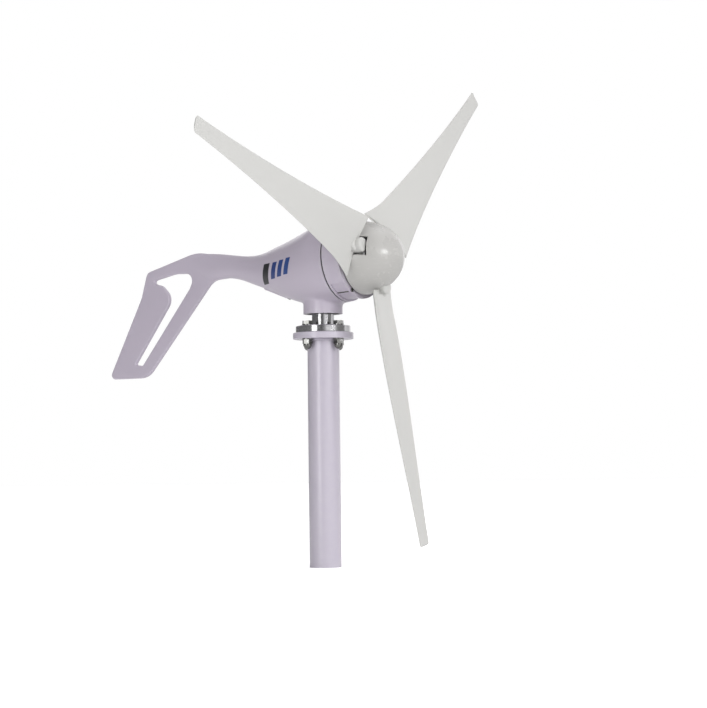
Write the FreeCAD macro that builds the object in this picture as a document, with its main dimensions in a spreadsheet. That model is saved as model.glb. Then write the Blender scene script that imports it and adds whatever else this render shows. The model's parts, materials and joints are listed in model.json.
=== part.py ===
import FreeCAD, Part
import math
import os
import re

import Sketcher
from FreeCAD import Vector

# Small three-blade wind turbine on a flanged pole.
# Frame: millimetres, origin at the centre of the pole's foot, +Z up the pole (the yaw axis),
# +X towards the nose. The rotor axis leans back by `tilt` and crosses the yaw axis
# `axis_height` above the top of the pole.

doc = FreeCAD.newDocument("wind_turbine")
dims = doc.addObject("Spreadsheet::Sheet", "dims")

SIZES = (
    # how far a cutting tool runs past the face that it opens
    ("past", 1),
    # pole and its flange
    ("pole_height", 440), ("pole_radius", 30), ("pole_wall", 3),
    ("pole_flange_radius", 57), ("pole_flange_thick", 12), ("cable_hole_radius", 20),
    ("flange_bolt_circle", 82), ("flange_bolt_radius", 5), ("flange_bolt_count", 4),
    ("flange_bolt_clock", -11), ("bolt_clearance", 0.4), ("flange_bolt_tail", 3),
    ("washer_radius", 10), ("washer_thick", 2), ("bolt_head_flats", 17),
    ("bolt_head_tall", 6.4), ("nut_tall", 8), ("nut_dome", 8), ("nut_neck", 2),
    # yaw shaft and its bearings
    ("yaw_flange_radius", 51.5), ("yaw_flange_thick", 13), ("edge_break", 1),
    ("yaw_shaft_radius", 21), ("yaw_seat_radius", 17.5), ("yaw_bore_radius", 8),
    ("collar_gap", 22.5), ("collar_radius", 37), ("collar_belly", 32), ("collar_round", 9),
    ("yaw_bearing_outer", 31), ("yaw_bearing_wide", 14), ("yaw_spacer_tall", 3),
    ("bearing_lip", 2),
    ("yaw_ball_radius", 3.6), ("yaw_ball_count", 11),
    ("seal_room", 5.5), ("seal_thick", 3.3), ("circlip_thick", 1.2), ("circlip_depth", 1.2),
    ("circlip_deep", 3), ("circlip_mouth", 8), ("seal_play", 0.2),
    ("lock_nut_radius", 25), ("lock_nut_tall", 6), ("shaft_tip", 2),
    ("running_fit", 0.05), ("seat_fit", 0.02), ("ball_play", 0.25), ("race_shoulder", 0.28),
    ("cage_share", 0.9), ("cage_reach", 1.3),
    # slip rings and brushes
    ("ring_count", 3), ("ring_outer", 12), ("ring_inner", 9), ("ring_tall", 4),
    ("ring_pitch", 7), ("ring_first", 5), ("flange_disc", 13), ("drum_spigot", 9),
    ("brush_wide", 5), ("brush_tall", 3.4), ("brush_long", 11), ("brush_gap", 0.3),
    ("brush_play", 0.1), ("holder_rise", 1),
    ("holder_near", 17), ("holder_wide", 18), ("holder_foot", 8), ("holder_margin", 3),
    ("spring_radius", 1.4), ("spring_wire", 0.3), ("spring_turns", 5),
    # nacelle shell: stations along the rotor axis, upper and lower edge, half width
    ("axis_height", 129), ("tilt", 4), ("shell_front", 48.2), ("shell_front_radius", 76.6),
    ("shell_wall", 4.5), ("cavity_front", 25),
    # tail fin, heights above the pole top
    ("fin_thick", 9), ("fin_edge_round", 3),
    # generator
    ("stator_radius", 66), ("stator_bore", 42), ("stack_rear", 36), ("stack_front", 64),
    ("slot_count", 18), ("slot_wide", 7), ("slot_mouth", 2), ("yoke_thick", 9),
    ("slot_deep", "=stator_radius - stator_bore - slot_mouth - yoke_thick"), ("end_turn", 5.5),
    ("coil_play", 0.3), ("slot_liner", 0.5), ("end_swell", 1),
    ("air_gap", 0.8), ("magnet_thick", 4.2), ("magnet_count", 12), ("magnet_gap", 6),
    ("core_trim", 1), ("shaft_seat_radius", 12),
    # end bell, front cover and their bearings
    ("bell_thick", 4), ("bell_gap", 1.5), ("rear_bearing_outer", 17.5), ("rear_bearing_bore", 7.5),
    ("rear_bearing_wide", 11), ("rear_bearing_start", 17), ("boss_wall", 4.5),
    ("boss_lead", 1), ("shaft_stub", 2),
    ("cover_gap", 2.8), ("cover_rear_radius", 76.4), ("cover_front", 85.5),
    ("cover_front_radius", 74.9), ("cover_plate", 5), ("front_bearing_outer", 23.5),
    ("front_bearing_bore", 10), ("front_bearing_wide", 14), ("front_bearing_start", 67),
    ("shaft_seal_outer", 16), ("cover_recess_deep", 2), ("cover_recess_span", 100),
    ("cover_recess_lip", 4), ("cover_screw_circle", 142), ("cover_screw_radius", 2.5),
    ("cover_screw_count", 6), ("cover_screw_clock", 30), ("cover_screw_grip", 14), ("screw_head_tall", 4),
    ("screw_play", 0.2), ("head_share", 1.45), ("socket_share", 1.2), ("socket_floor", 0.5),
    ("pan_share", 1.8),
    ("main_ball_count", 8), ("rear_ball_radius", 2.7), ("front_ball_radius", 3.6),
    # hub, blades and spinner
    ("rotor_radius", 550), ("blade_plane", 119), ("blade_clock", 49.5), ("blade_count", 3),
    ("hub_rear", 90), ("hub_boss_radius", 18), ("hub_bore", 9), ("hub_disc_rear", 98),
    ("hub_face", 106), ("hub_radius", 60), ("root_thick", 20), ("root_wide", 28),
    ("root_shift", 4), ("root_inner", 22), ("root_outer", 84),
    ("shoulder_inner", 53.5), ("shoulder_middle", 59), ("shoulder_tall", 27.5), ("shoulder_round", 5),
    ("clamp_thick", 5),
    ("clamp_radius", 52), ("clamp_hole", 14.5), ("blade_bolt_radius", 3), ("blade_bolt_in", 30),
    ("blade_bolt_out", 44), ("blade_bolt_flats", 10), ("blade_bolt_head", 4),
    ("blade_nut_tall", 5), ("blade_bolt_tail", 1.5), ("hub_nut_flats", 24), ("hub_nut_tall", 13),
    ("hub_thread", 8), ("hub_washer_radius", 15), ("hub_washer_thick", 2), ("hub_tip", 3),
    ("tip_chord", 32), ("chord_gain", 72), ("chord_power", 1.45), ("root_station", 75),
    ("root_twist", 17.1), ("twist_power", 2.8), ("foil_root", 0.105), ("foil_tip", 0.085),
    ("foil_camber", 0.035), ("foil_edge", 0.012), ("spinner_clearance", 1.2),
    ("root_sweep_radius", 130), ("root_sweep_reach", 70), ("root_flare", 26), ("flare_reach", 118),
    ("spinner_rear", 89), ("spinner_radius", 68.6), ("spinner_long", 84.8), ("spinner_wall", 2.5),
    ("notch_front", 137), ("notch_low", 23), ("notch_high", 13),
    ("post_circle", 100), ("post_radius", 5.5), ("post_play", 0.5), ("spinner_screw_radius", 2.5),
    ("spinner_screw_grip", 14), ("key_wide", 5), ("key_long", 12), ("key_tall", 5),
    # service cover under the shell
    ("service_long", 66), ("service_wide", 20), ("service_thick", 3), ("service_gap", 0.3),
    ("service_along", -106), ("service_drop", 39.8), ("service_slope", 25), ("service_screw", 1.5),
    ("service_screw_pitch", 56), ("service_lip", 4), ("service_rim", 4), ("service_floor", 3),
    ("service_set", 0.5), ("service_reach", 15),
)

ALIASES = set()


def size(alias, number):
    """One named value on its own row of the sheet; text starting with = follows other values."""
    row = len(ALIASES) + 1
    dims.set(f"A{row}", alias)
    dims.set(f"B{row}", str(number))
    dims.setAlias(f"B{row}", alias)
    ALIASES.add(alias)


def sized_table(name, columns, rows):
    """Named values name_column_k for every row of a table of stations."""
    for k, row in enumerate(rows):
        for column, number in zip(columns, row):
            size(f"{name}_{column}_{k}", number)
    doc.recompute()


for alias, number in SIZES:
    size(alias, number)
doc.recompute()


def ref(text):
    """Expression text with every sheet alias pointed at the sheet."""
    return re.sub(r"[a-z][a-z_0-9]*", lambda m: f"dims.{m[0]}" if m[0] in ALIASES else m[0], str(text))


def val(text):
    """Present value of an expression of sheet aliases."""
    return float(dims.evalExpression(ref(text)))


# ---------------------------------------------------------------- frames

POLE_TOP = "pole_height"
AXIS = "(pole_height + axis_height)"
ROTOR = (f"placement(vector(0; 0; {AXIS}); rotation(vector(0; 1; 0); 90 - tilt))")


def at(x=0, y=0, z=0, turn=0, axis="0; 0; 1"):
    """Placement expression: a shift, and a turn about an axis."""
    return f"placement(vector({x}; {y}; {z}); rotation(vector({axis}); {turn}))"


def place(obj, *steps):
    obj.setExpression("Placement", ref(" * ".join(steps)))
    return obj


# ---------------------------------------------------------------- building blocks

def new(kind, name, **values):
    """A document object whose properties are bound to sheet expressions."""
    obj = doc.addObject(kind, name)
    for prop, text in values.items():
        obj.setExpression(prop, ref(text))
    return obj


def rod(name, radius, low, high, *frame):
    """Cylinder along the frame's Z from low to high."""
    obj = new("Part::Cylinder", name, Radius=radius, Height=f"({high}) - ({low})")
    return place(obj, *frame, at(z=low))


def block(name, x, y, z, *frame):
    """Box between the given pairs of limits in the frame."""
    obj = new("Part::Box", name, Length=f"({x[1]}) - ({x[0]})", Width=f"({y[1]}) - ({y[0]})",
              Height=f"({z[1]}) - ({z[0]})")
    return place(obj, *frame, at(x[0], y[0], z[0]))


def hexagon(name, flats, low, high, *frame):
    """Hexagonal prism of the given width across flats."""
    obj = new("Part::Prism", name, Circumradius=f"({flats}) / (2 * cos(30))",
              Height=f"({high}) - ({low})")
    obj.Polygon = 6
    return place(obj, *frame, at(z=low))


def fuse(name, parts):
    obj = doc.addObject("Part::MultiFuse", name)
    obj.Shapes = parts
    return obj


def cut(name, base, tool):
    obj = doc.addObject("Part::Cut", name)
    obj.Base = base
    obj.Tool = tool
    return obj


def common(name, parts):
    obj = doc.addObject("Part::MultiCommon", name)
    obj.Shapes = parts
    return obj


def group(name, parts):
    """Separate solids kept together as one node."""
    obj = doc.addObject("Part::Compound", name)
    obj.Links = parts
    return obj


def tube(name, inner, outer, low, high, *frame):
    """Ring or sleeve along the frame's Z."""
    return cut(name, rod(f"{name}_outside", outer, low, high, *frame),
               rod(f"{name}_hole", inner, f"({low}) - past", f"({high}) + past", *frame))


def ring_of(count, turn=0):
    """Turn expressions of `count` equal steps round an axis."""
    return [f"({turn}) + {k} * 360 / {count}" for k in range(int(val(count)))]


def plane_of(body, role):
    return next(o for o in body.Origin.OriginFeatures if o.Role == role)


def outline(body, name, role, corners):
    """Closed sketch of straight lines; both coordinates of each corner are bound."""
    sketch = body.newObject("Sketcher::SketchObject", name)
    sketch.AttachmentSupport = [(plane_of(body, role), "")]
    sketch.MapMode = "FlatFace"
    spots = [Vector(val(x), val(y), 0) for x, y in corners]
    for k, spot in enumerate(spots):
        sketch.addGeometry(Part.LineSegment(spot, spots[(k + 1) % len(spots)]), False)
    for k, (x, y) in enumerate(corners):
        sketch.addConstraint(Sketcher.Constraint("Coincident", k, 2, (k + 1) % len(spots), 1))
        for kind, text in (("DistanceX", x), ("DistanceY", y)):
            index = sketch.addConstraint(Sketcher.Constraint(kind, -1, 1, k, 1, val(text)))
            sketch.setExpression(f"Constraints[{index}]", ref(text))
    return sketch


def turned(name, corners, *frame):
    """Lathe-turned piece: corners are (radius, height) round the half section."""
    body = doc.addObject("PartDesign::Body", name)
    profile = outline(body, f"{name}_profile", "XZ_Plane", corners)
    turn = body.newObject("PartDesign::Revolution", f"{name}_turn")
    turn.Profile = profile
    turn.ReferenceAxis = (profile, ["V_Axis"])
    turn.Angle = 360
    profile.Visibility = False
    return place(body, *frame) if frame else body


def drilled(name, base, radius, circle, count, low, high, turn, *frame):
    """Base with a circle of through holes."""
    drills = [rod(f"{name}_drill_{k}", radius, low, high, *frame, at(turn=a), at(x=f"{circle} / 2"))
              for k, a in enumerate(ring_of(count, turn))]
    return cut(name, base, group(f"{name}_drills", drills))


nodes = {}


def node(name, obj):
    """Marks an object as a finished sub-part under its own label."""
    obj.Label = name
    nodes[name] = obj
    return obj


# ---------------------------------------------------------------- mast: pole, flange, fixed yaw shaft

FLANGE_UNDER = "(pole_height - pole_flange_thick)"
ALU_TOP = "(pole_height + yaw_flange_thick)"
COLLAR_END = f"({ALU_TOP} + collar_gap)"
BEARING_1 = f"({COLLAR_END} + seal_room)"
BEARING_1_TOP = f"({BEARING_1} + yaw_bearing_wide)"
BEARING_2 = f"({BEARING_1_TOP} + yaw_spacer_tall)"
BEARING_2_TOP = f"({BEARING_2} + yaw_bearing_wide)"
LOCK_TOP = f"({BEARING_2_TOP} + lock_nut_tall)"
SHAFT_END = f"({LOCK_TOP} + shaft_tip)"
RACE_MID = "((yaw_seat_radius + yaw_bearing_outer) / 2)"


def mast():
    node("pole", tube("pole", "pole_radius - pole_wall", "pole_radius", 0, FLANGE_UNDER))

    disc = turned("pole_flange_disc", [
        ("cable_hole_radius", FLANGE_UNDER),
        ("pole_flange_radius - edge_break", FLANGE_UNDER),
        ("pole_flange_radius", f"{FLANGE_UNDER} + edge_break"),
        ("pole_flange_radius", f"{POLE_TOP} - edge_break"),
        ("pole_flange_radius - edge_break", POLE_TOP),
        ("cable_hole_radius", POLE_TOP)])
    hole = "flange_bolt_radius + bolt_clearance"
    node("pole_flange", drilled("pole_flange", disc, hole, "flange_bolt_circle", "flange_bolt_count",
                                f"{FLANGE_UNDER} - past", f"{POLE_TOP} + past", "flange_bolt_clock"))

    shaft = turned("yaw_shaft_blank", [
        ("yaw_bore_radius", POLE_TOP),
        ("yaw_flange_radius - edge_break", POLE_TOP),
        ("yaw_flange_radius", f"{POLE_TOP} + edge_break"),
        ("yaw_flange_radius", f"{ALU_TOP} - edge_break"),
        ("yaw_flange_radius - edge_break", ALU_TOP),
        ("yaw_shaft_radius", ALU_TOP),
        ("yaw_shaft_radius", BEARING_1),
        ("yaw_seat_radius", BEARING_1),
        ("yaw_seat_radius", f"{SHAFT_END} - edge_break"),
        ("yaw_seat_radius - edge_break", SHAFT_END),
        ("yaw_bore_radius", SHAFT_END)])
    node("yaw_shaft", drilled("yaw_shaft", shaft, hole, "flange_bolt_circle", "flange_bolt_count",
                              f"{POLE_TOP} - past", f"{ALU_TOP} + past", "flange_bolt_clock"))

    bolts, nuts, washers = [], [], []
    head_seat = f"({ALU_TOP} + washer_thick)"
    nut_seat = f"({FLANGE_UNDER} - washer_thick)"
    for k, turn in enumerate(ring_of("flange_bolt_count", "flange_bolt_clock")):
        spot = (at(turn=turn), at(x="flange_bolt_circle / 2"))
        bolts.append(fuse(f"flange_bolt_{k}", [
            rod(f"flange_bolt_shank_{k}", "flange_bolt_radius",
                f"{nut_seat} - nut_tall - nut_neck", head_seat, *spot),
            hexagon(f"flange_bolt_head_{k}", "bolt_head_flats", head_seat,
                    f"{head_seat} + bolt_head_tall", *spot)]))
        dome = new("Part::Sphere", f"flange_nut_dome_{k}", Radius="nut_dome")
        place(dome, *spot, at(z=f"{nut_seat} - nut_tall - nut_neck"))
        blank = fuse(f"flange_nut_blank_{k}", [
            hexagon(f"flange_nut_hex_{k}", "bolt_head_flats", f"{nut_seat} - nut_tall", nut_seat,
                    *spot),
            rod(f"flange_nut_neck_{k}", "nut_dome", f"{nut_seat} - nut_tall - nut_neck",
                f"{nut_seat} - nut_tall / 2", *spot), dome])
        nuts.append(cut(f"flange_nut_{k}", blank,
                        rod(f"flange_nut_hole_{k}", "flange_bolt_radius + seat_fit",
                            f"{nut_seat} - nut_tall - nut_neck - flange_bolt_tail",
                            f"{nut_seat} + past", *spot)))
        for side, low in (("top", ALU_TOP), ("under", nut_seat)):
            washers.append(tube(f"flange_washer_{side}_{k}", hole, "washer_radius", low,
                                f"{low} + washer_thick", *spot))
    node("flange_bolts", group("flange_bolts", bolts))
    node("flange_nuts", group("flange_nuts", nuts))
    node("flange_washers", group("flange_washers", washers))

    node("yaw_spacer", tube("yaw_spacer", "yaw_seat_radius + seat_fit", "yaw_shaft_radius",
                            BEARING_1_TOP, BEARING_2))
    node("yaw_lock_nut", tube("yaw_lock_nut", "yaw_seat_radius + seat_fit", "lock_nut_radius",
                              BEARING_2_TOP, LOCK_TOP))


def ball_race(name, bore, outer, low, wide, ball, count, *frame):
    """Deep-groove bearing: inner ring, outer ring and balls, along the frame's Z.

    The two rings meet the bore and outer radius; each has a groove round the pitch circle.
    """
    pitch = f"(({bore} + {outer}) / 2)"
    middle = f"({low} + {wide} / 2)"
    groove = new("Part::Torus", f"{name}_groove", Radius1=pitch, Radius2=f"{ball} + ball_play")
    place(groove, *frame, at(z=middle, turn=90))
    land = f"({ball} * race_shoulder * 2)"
    inner = cut(f"{name}_inner", tube(f"{name}_inner_blank", bore, f"{pitch} - {land}", low,
                                      f"{low} + {wide}", *frame), groove)
    groove_2 = new("Part::Torus", f"{name}_groove_2", Radius1=pitch, Radius2=f"{ball} + ball_play")
    place(groove_2, *frame, at(z=middle, turn=90))
    outer_ring = cut(f"{name}_outer", tube(f"{name}_outer_blank", f"{pitch} + {land}", outer, low,
                                           f"{low} + {wide}", *frame), groove_2)
    balls = []
    for k, turn in enumerate(ring_of(count)):
        sphere = new("Part::Sphere", f"{name}_ball_{k}", Radius=ball)
        balls.append(place(sphere, *frame, at(turn=turn), at(x=pitch, z=middle)))
    return inner, outer_ring, balls


def cage(name, bore, outer, low, wide, ball, count, *frame):
    """Ribbon cage between the rings, open round each ball."""
    pitch = f"(({bore} + {outer}) / 2)"
    middle = f"({low} + {wide} / 2)"
    half = f"({ball} * race_shoulder * cage_share)"
    band = tube(f"{name}_band", f"{pitch} - {half}", f"{pitch} + {half}",
                f"{middle} - {ball} * cage_reach", f"{middle} + {ball} * cage_reach", *frame)
    pockets = []
    for k, turn in enumerate(ring_of(count)):
        pockets.append(rod(f"{name}_pocket_{k}", f"{ball} + ball_play / 2", 0, f"2 * {pitch}", *frame,
                           at(z=middle, turn=turn), at(turn=90, axis="0; 1; 0")))
    return cut(name, band, group(f"{name}_pockets", pockets))


def bearings():
    sets = (
        ("yaw", (("yaw_seat_radius", "yaw_bearing_outer", BEARING_1, "yaw_bearing_wide",
                  "yaw_ball_radius", "yaw_ball_count"),
                 ("yaw_seat_radius", "yaw_bearing_outer", BEARING_2, "yaw_bearing_wide",
                  "yaw_ball_radius", "yaw_ball_count")), ()),
        ("main", (("rear_bearing_bore", "rear_bearing_outer", "rear_bearing_start",
                   "rear_bearing_wide", "rear_ball_radius", "main_ball_count"),
                  ("front_bearing_bore", "front_bearing_outer", "front_bearing_start",
                   "front_bearing_wide", "front_ball_radius", "main_ball_count")), (ROTOR,)),
    )
    for axis, pair, frame in sets:
        inners, outers, balls, cages = [], [], [], []
        for k, (bore, outer, low, wide, ball, count) in enumerate(pair):
            low = f"({low})"
            inner, outer_ring, loose = ball_race(f"{axis}_race_{k}", bore, outer, low, wide, ball,
                                                 count, *frame)
            inners.append(inner)
            outers.append(outer_ring)
            balls += loose
            cages.append(cage(f"{axis}_cage_{k}", bore, outer, low, wide, ball, count, *frame))
        node(f"{axis}_bearing_inner_rings", group(f"{axis}_bearing_inner_rings", inners))
        node(f"{axis}_bearing_outer_rings", group(f"{axis}_bearing_outer_rings", outers))
        node(f"{axis}_bearing_balls", group(f"{axis}_bearing_balls", balls))
        node(f"{axis}_bearing_cages", group(f"{axis}_bearing_cages", cages))


def slip_rings():
    """Insulating drum plugged into the yaw shaft, with copper rings in its grooves."""
    corners = [("0", f"{SHAFT_END} - drum_spigot"),
               ("yaw_bore_radius - seat_fit", f"{SHAFT_END} - drum_spigot"),
               ("yaw_bore_radius - seat_fit", SHAFT_END),
               ("flange_disc", SHAFT_END)]
    rings = []
    for k in range(int(val("ring_count"))):
        low = f"({SHAFT_END} + ring_first + {k} * ring_pitch)"
        high = f"({low} + ring_tall)"
        corners += [("flange_disc", low), ("ring_inner", low), ("ring_inner", high),
                    ("flange_disc", high)]
        rings.append(tube(f"slip_ring_{k}", "ring_inner + seat_fit", "ring_outer",
                          f"{low} + seat_fit", f"{high} - seat_fit"))
    top = f"({SHAFT_END} + ring_first + ring_count * ring_pitch)"
    corners += [("flange_disc", top), ("0", top)]
    node("slip_ring_drum", turned("slip_ring_drum", corners))
    node("slip_rings", group("slip_rings", rings))

    far = "(collar_radius - edge_break)"
    half = "holder_wide / 2"
    blank = fuse("brush_holder_blank", [
        block("brush_holder_foot", (f"-{far}", f"-{far} + holder_foot"), (f"-{half}", half),
              (BEARING_2_TOP, f"{SHAFT_END} + holder_rise")),
        block("brush_holder_block", (f"-{far}", "-holder_near"), (f"-{half}", half),
              (f"{SHAFT_END} + holder_rise", top))])
    ways, brushes, springs = [], [], []
    for k in range(int(val("ring_count"))):
        mid = f"({SHAFT_END} + ring_first + {k} * ring_pitch + ring_tall / 2)"
        tip = "-(ring_outer + brush_gap)"
        tail = f"({tip} - brush_long)"
        wide = ("-brush_wide / 2", "brush_wide / 2")
        ways.append(block(f"brush_way_{k}", (f"-{far} + holder_margin", "0"),
                          ("-brush_wide / 2 - brush_play", "brush_wide / 2 + brush_play"),
                          (f"{mid} - brush_tall / 2 - brush_play",
                           f"{mid} + brush_tall / 2 + brush_play")))
        brushes.append(block(f"brush_{k}", (tail, tip), wide,
                             (f"{mid} - brush_tall / 2", f"{mid} + brush_tall / 2")))
        springs.append(spring(f"brush_spring_{k}", f"-{far} + holder_margin", tail, mid))
    node("brush_holder", cut("brush_holder", blank, group("brush_ways", ways)))
    node("brushes", group("brushes", brushes))
    node("brush_springs", group("brush_springs", springs))


def spring(name, start, end, height):
    """Coil spring lying along X between two places."""
    path = new("Part::Helix", f"{name}_path", Radius="spring_radius",
               Pitch=f"(({end}) - ({start}) - 2 * spring_wire) / spring_turns",
               Height=f"({end}) - ({start}) - 2 * spring_wire")
    lie = at(f"({start}) + spring_wire", 0, height, 90, "0; 1; 0")
    place(path, lie)
    wire = new("Part::Circle", f"{name}_wire", Radius="spring_wire")
    place(wire, lie, at(x="spring_radius", turn=90, axis="1; 0; 0"))
    coil = doc.addObject("Part::Sweep", name)
    coil.Sections = [wire]
    coil.Spine = (path, [])
    coil.Solid = True
    coil.Frenet = True
    return coil


# ---------------------------------------------------------------- nacelle: shell, tail, yaw housing

# Stations of the shell behind its round front: place along the rotor axis, upper and lower
# edge measured from that axis, and half width.
SHELL = ((12, 73.9, -77, 75), (-26, 65.2, -73, 67.4), (-60, 55.4, -63, 57.0),
         (-96, 46.8, -47, 44.8), (-129, 39.5, -31.5, 34), (-162, 38.3, -17, 26),
         (-200, 44.4, -2, 18.5), (-240, 52.6, 4, 12), (-280, 58.9, 9, 7.4), (-322, 57.5, 24, 4.3))
sized_table("shell", ("place", "upper", "lower", "half"), SHELL)

# Corners of the tail fin and of its slot: forward of the yaw axis, above the pole top, and the
# radius that rounds the corner off.
FIN = ((-205, 156, 0), (-300, 171.5, 90), (-425, 138.5, 14), (-440, 88, 60), (-525, -72, 9),
       (-425, -72, 42), (-259, 114, 38), (-205, 117, 0))
FIN_SLOT = ((-418, 119, 4), (-352, 132, 60), (-303, 130, 15), (-317, 101, 30), (-438, -47, 6),
            (-457, -45, 3), (-360, 84, 24), (-386, 110, 18))
sized_table("fin", ("forward", "above", "round"), FIN)
sized_table("fin_slot", ("forward", "above", "round"), FIN_SLOT)


def shell_station(name, place_at, upper, lower, half):
    """Upright ellipse across the rotor axis between its upper and lower edges."""
    ring = new("Part::Ellipse", name, MajorRadius=f"(({upper}) - ({lower})) / 2", MinorRadius=half)
    return place(ring, ROTOR, at(x=f"-(({upper}) + ({lower})) / 2", z=place_at))


def loft(name, rings):
    obj = doc.addObject("Part::Loft", name)
    obj.Sections = rings
    obj.Solid = True
    obj.Ruled = False
    return obj


def plate(name, table, count, half):
    """Upright plate on the XZ plane from a sized table, each corner rounded by its own radius."""
    body = doc.addObject("PartDesign::Body", name)
    corners = [(f"{table}_forward_{k}", f"{table}_above_{k}") for k in range(count)]
    profile = outline(body, f"{name}_profile", "XZ_Plane", corners)
    pad = body.newObject("PartDesign::Pad", f"{name}_pad")
    pad.Profile = profile
    pad.Midplane = True
    pad.setExpression("Length", ref(f"2 * ({half})"))
    doc.recompute()
    for k, (x, z) in enumerate(corners):
        if val(f"{table}_round_{k}") > 0:
            corner_fillet(body, f"{name}_round_{k}", val(x), val(z), f"{table}_round_{k}")
    profile.Visibility = False
    return place(body, at(z=POLE_TOP))


def corner_fillet(body, name, x, z, radius):
    """Rounds the edge of a plate that stands across it at (x, z)."""
    base = body.Tip
    edge = next(k for k, e in enumerate(base.Shape.Edges, start=1)
                if all(math.hypot(v.X - x, v.Z - z) < 1e-3 for v in e.Vertexes))
    rounded = body.newObject("PartDesign::Fillet", name)
    rounded.Base = (base, [f"Edge{edge}"])
    rounded.setExpression("Radius", ref(radius))
    doc.recompute()


CAVITY_COUNT = 5
COLLAR_TOP = f"({COLLAR_END} + collar_belly)"
TOWER_TOP = BEARING_2_TOP


def tail_fin():
    """Flat fin with its slot, and the rims of its two broad faces rounded over."""
    fin = plate("fin", "fin", len(FIN), "fin_thick / 2")
    slot = plate("fin_slot", "fin_slot", len(FIN_SLOT), "fin_thick")
    opened = cut("fin_open", fin, slot)
    doc.recompute()
    rims = [k for k, e in enumerate(opened.Shape.Edges, start=1) if is_fin_rim(e)]
    rounded = doc.addObject("Part::Fillet", "fin_rounded")
    rounded.Base = opened
    rounded.Edges = [(k, val("fin_edge_round"), val("fin_edge_round")) for k in rims]
    return rounded


def is_fin_rim(edge):
    """True for the edges round a broad face, apart from the one buried in the shell."""
    spots = edge.discretize(3)
    side = val("fin_thick / 2")
    buried = all(abs(p.x - val("fin_forward_0")) < 1e-3 for p in spots)
    return all(abs(abs(p.y) - side) < 1e-3 for p in spots) and not buried


def nacelle_housing():
    front = shell_station("shell_front_ring", "shell_front", "shell_front_radius",
                          "-shell_front_radius", "shell_front_radius")
    stations = [shell_station(f"shell_ring_{k}", f"shell_place_{k}", f"shell_upper_{k}",
                              f"shell_lower_{k}", f"shell_half_{k}") for k in range(len(SHELL))]
    skin = loft("shell_skin", [front] + stations)
    collar = rod("collar", "collar_radius", COLLAR_END, COLLAR_TOP)
    joined = fuse("skin_and_collar", [skin, collar])
    doc.recompute()
    seam = [k for k, e in enumerate(joined.Shape.Edges, start=1) if is_collar_seam(e)]
    blended = doc.addObject("Part::Fillet", "collar_blend")
    blended.Base = joined
    blended.Edges = [(k, val("collar_round"), val("collar_round")) for k in seam]

    cavity = loft("cavity", [shell_station("cavity_ring_front", "cavity_front",
                                           "shell_front_radius - 2 * shell_wall",
                                           "-(shell_front_radius - 2 * shell_wall)",
                                           "shell_front_radius - 2 * shell_wall")]
                  + [shell_station(f"cavity_ring_{k}", f"shell_place_{k}",
                                   f"shell_upper_{k} - shell_wall", f"shell_lower_{k} + shell_wall",
                                   f"shell_half_{k} - shell_wall") for k in range(CAVITY_COUNT)])
    mouth = rod("stator_seat", "stator_radius", "cavity_front - past", "shell_front + past", ROTOR)
    hollow = cut("hollow_shell", blended, fuse("hollows", [cavity, mouth]))
    tower = rod("tower", "collar_radius - edge_break", f"{COLLAR_END} + edge_break", TOWER_TOP)
    bore = turned("yaw_housing_bore", [
        ("0", f"{COLLAR_END} - past"),
        ("yaw_bearing_outer", f"{COLLAR_END} - past"),
        ("yaw_bearing_outer", BEARING_1_TOP),
        ("yaw_bearing_outer - bearing_lip", BEARING_1_TOP),
        ("yaw_bearing_outer - bearing_lip", BEARING_2),
        ("yaw_bearing_outer", BEARING_2),
        ("yaw_bearing_outer", f"{TOWER_TOP} + past"),
        ("0", f"{TOWER_TOP} + past")])
    groove = tube("circlip_groove", "yaw_bearing_outer - past", "yaw_bearing_outer + circlip_depth",
                  f"{BEARING_1} - circlip_thick - seat_fit", BEARING_1)
    with_tower = cut("bored_shell", fuse("tower_and_shell", [hollow, tower]), bore)
    grooved = cut("grooved_shell", with_tower, groove)
    return fuse("shell_and_fin", [grooved, tail_fin()])


def is_collar_seam(edge):
    """True for the edges where the collar runs into the belly of the shell."""
    spots = edge.discretize(9)
    reach = val("collar_radius")
    return all(abs(math.hypot(p.x, p.y) - reach) < 0.05 and p.z > val(COLLAR_END) + 1 for p in spots)


SERVICE = f"{ROTOR} * {at('service_drop', 0, 'service_along', 'service_slope', '0; 1; 0')}"


def rounded_bar(name, long, wide, low, high, *frame):
    """Flat bar with half-round ends, long along the frame's Z, thick along its X."""
    half = f"(({long} - {wide}) / 2)"
    tip = at(turn=90, axis="0; 1; 0")
    ends = [rod(f"{name}_end_{k}", f"{wide} / 2", low, high, *frame, at(z=f"{way}{half}"), tip)
            for k, way in enumerate(("-", ""))]
    middle = block(f"{name}_middle", (low, high), (f"-{wide} / 2", f"{wide} / 2"),
                   (f"-{half}", half), *frame)
    return fuse(name, [middle] + ends)


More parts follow.
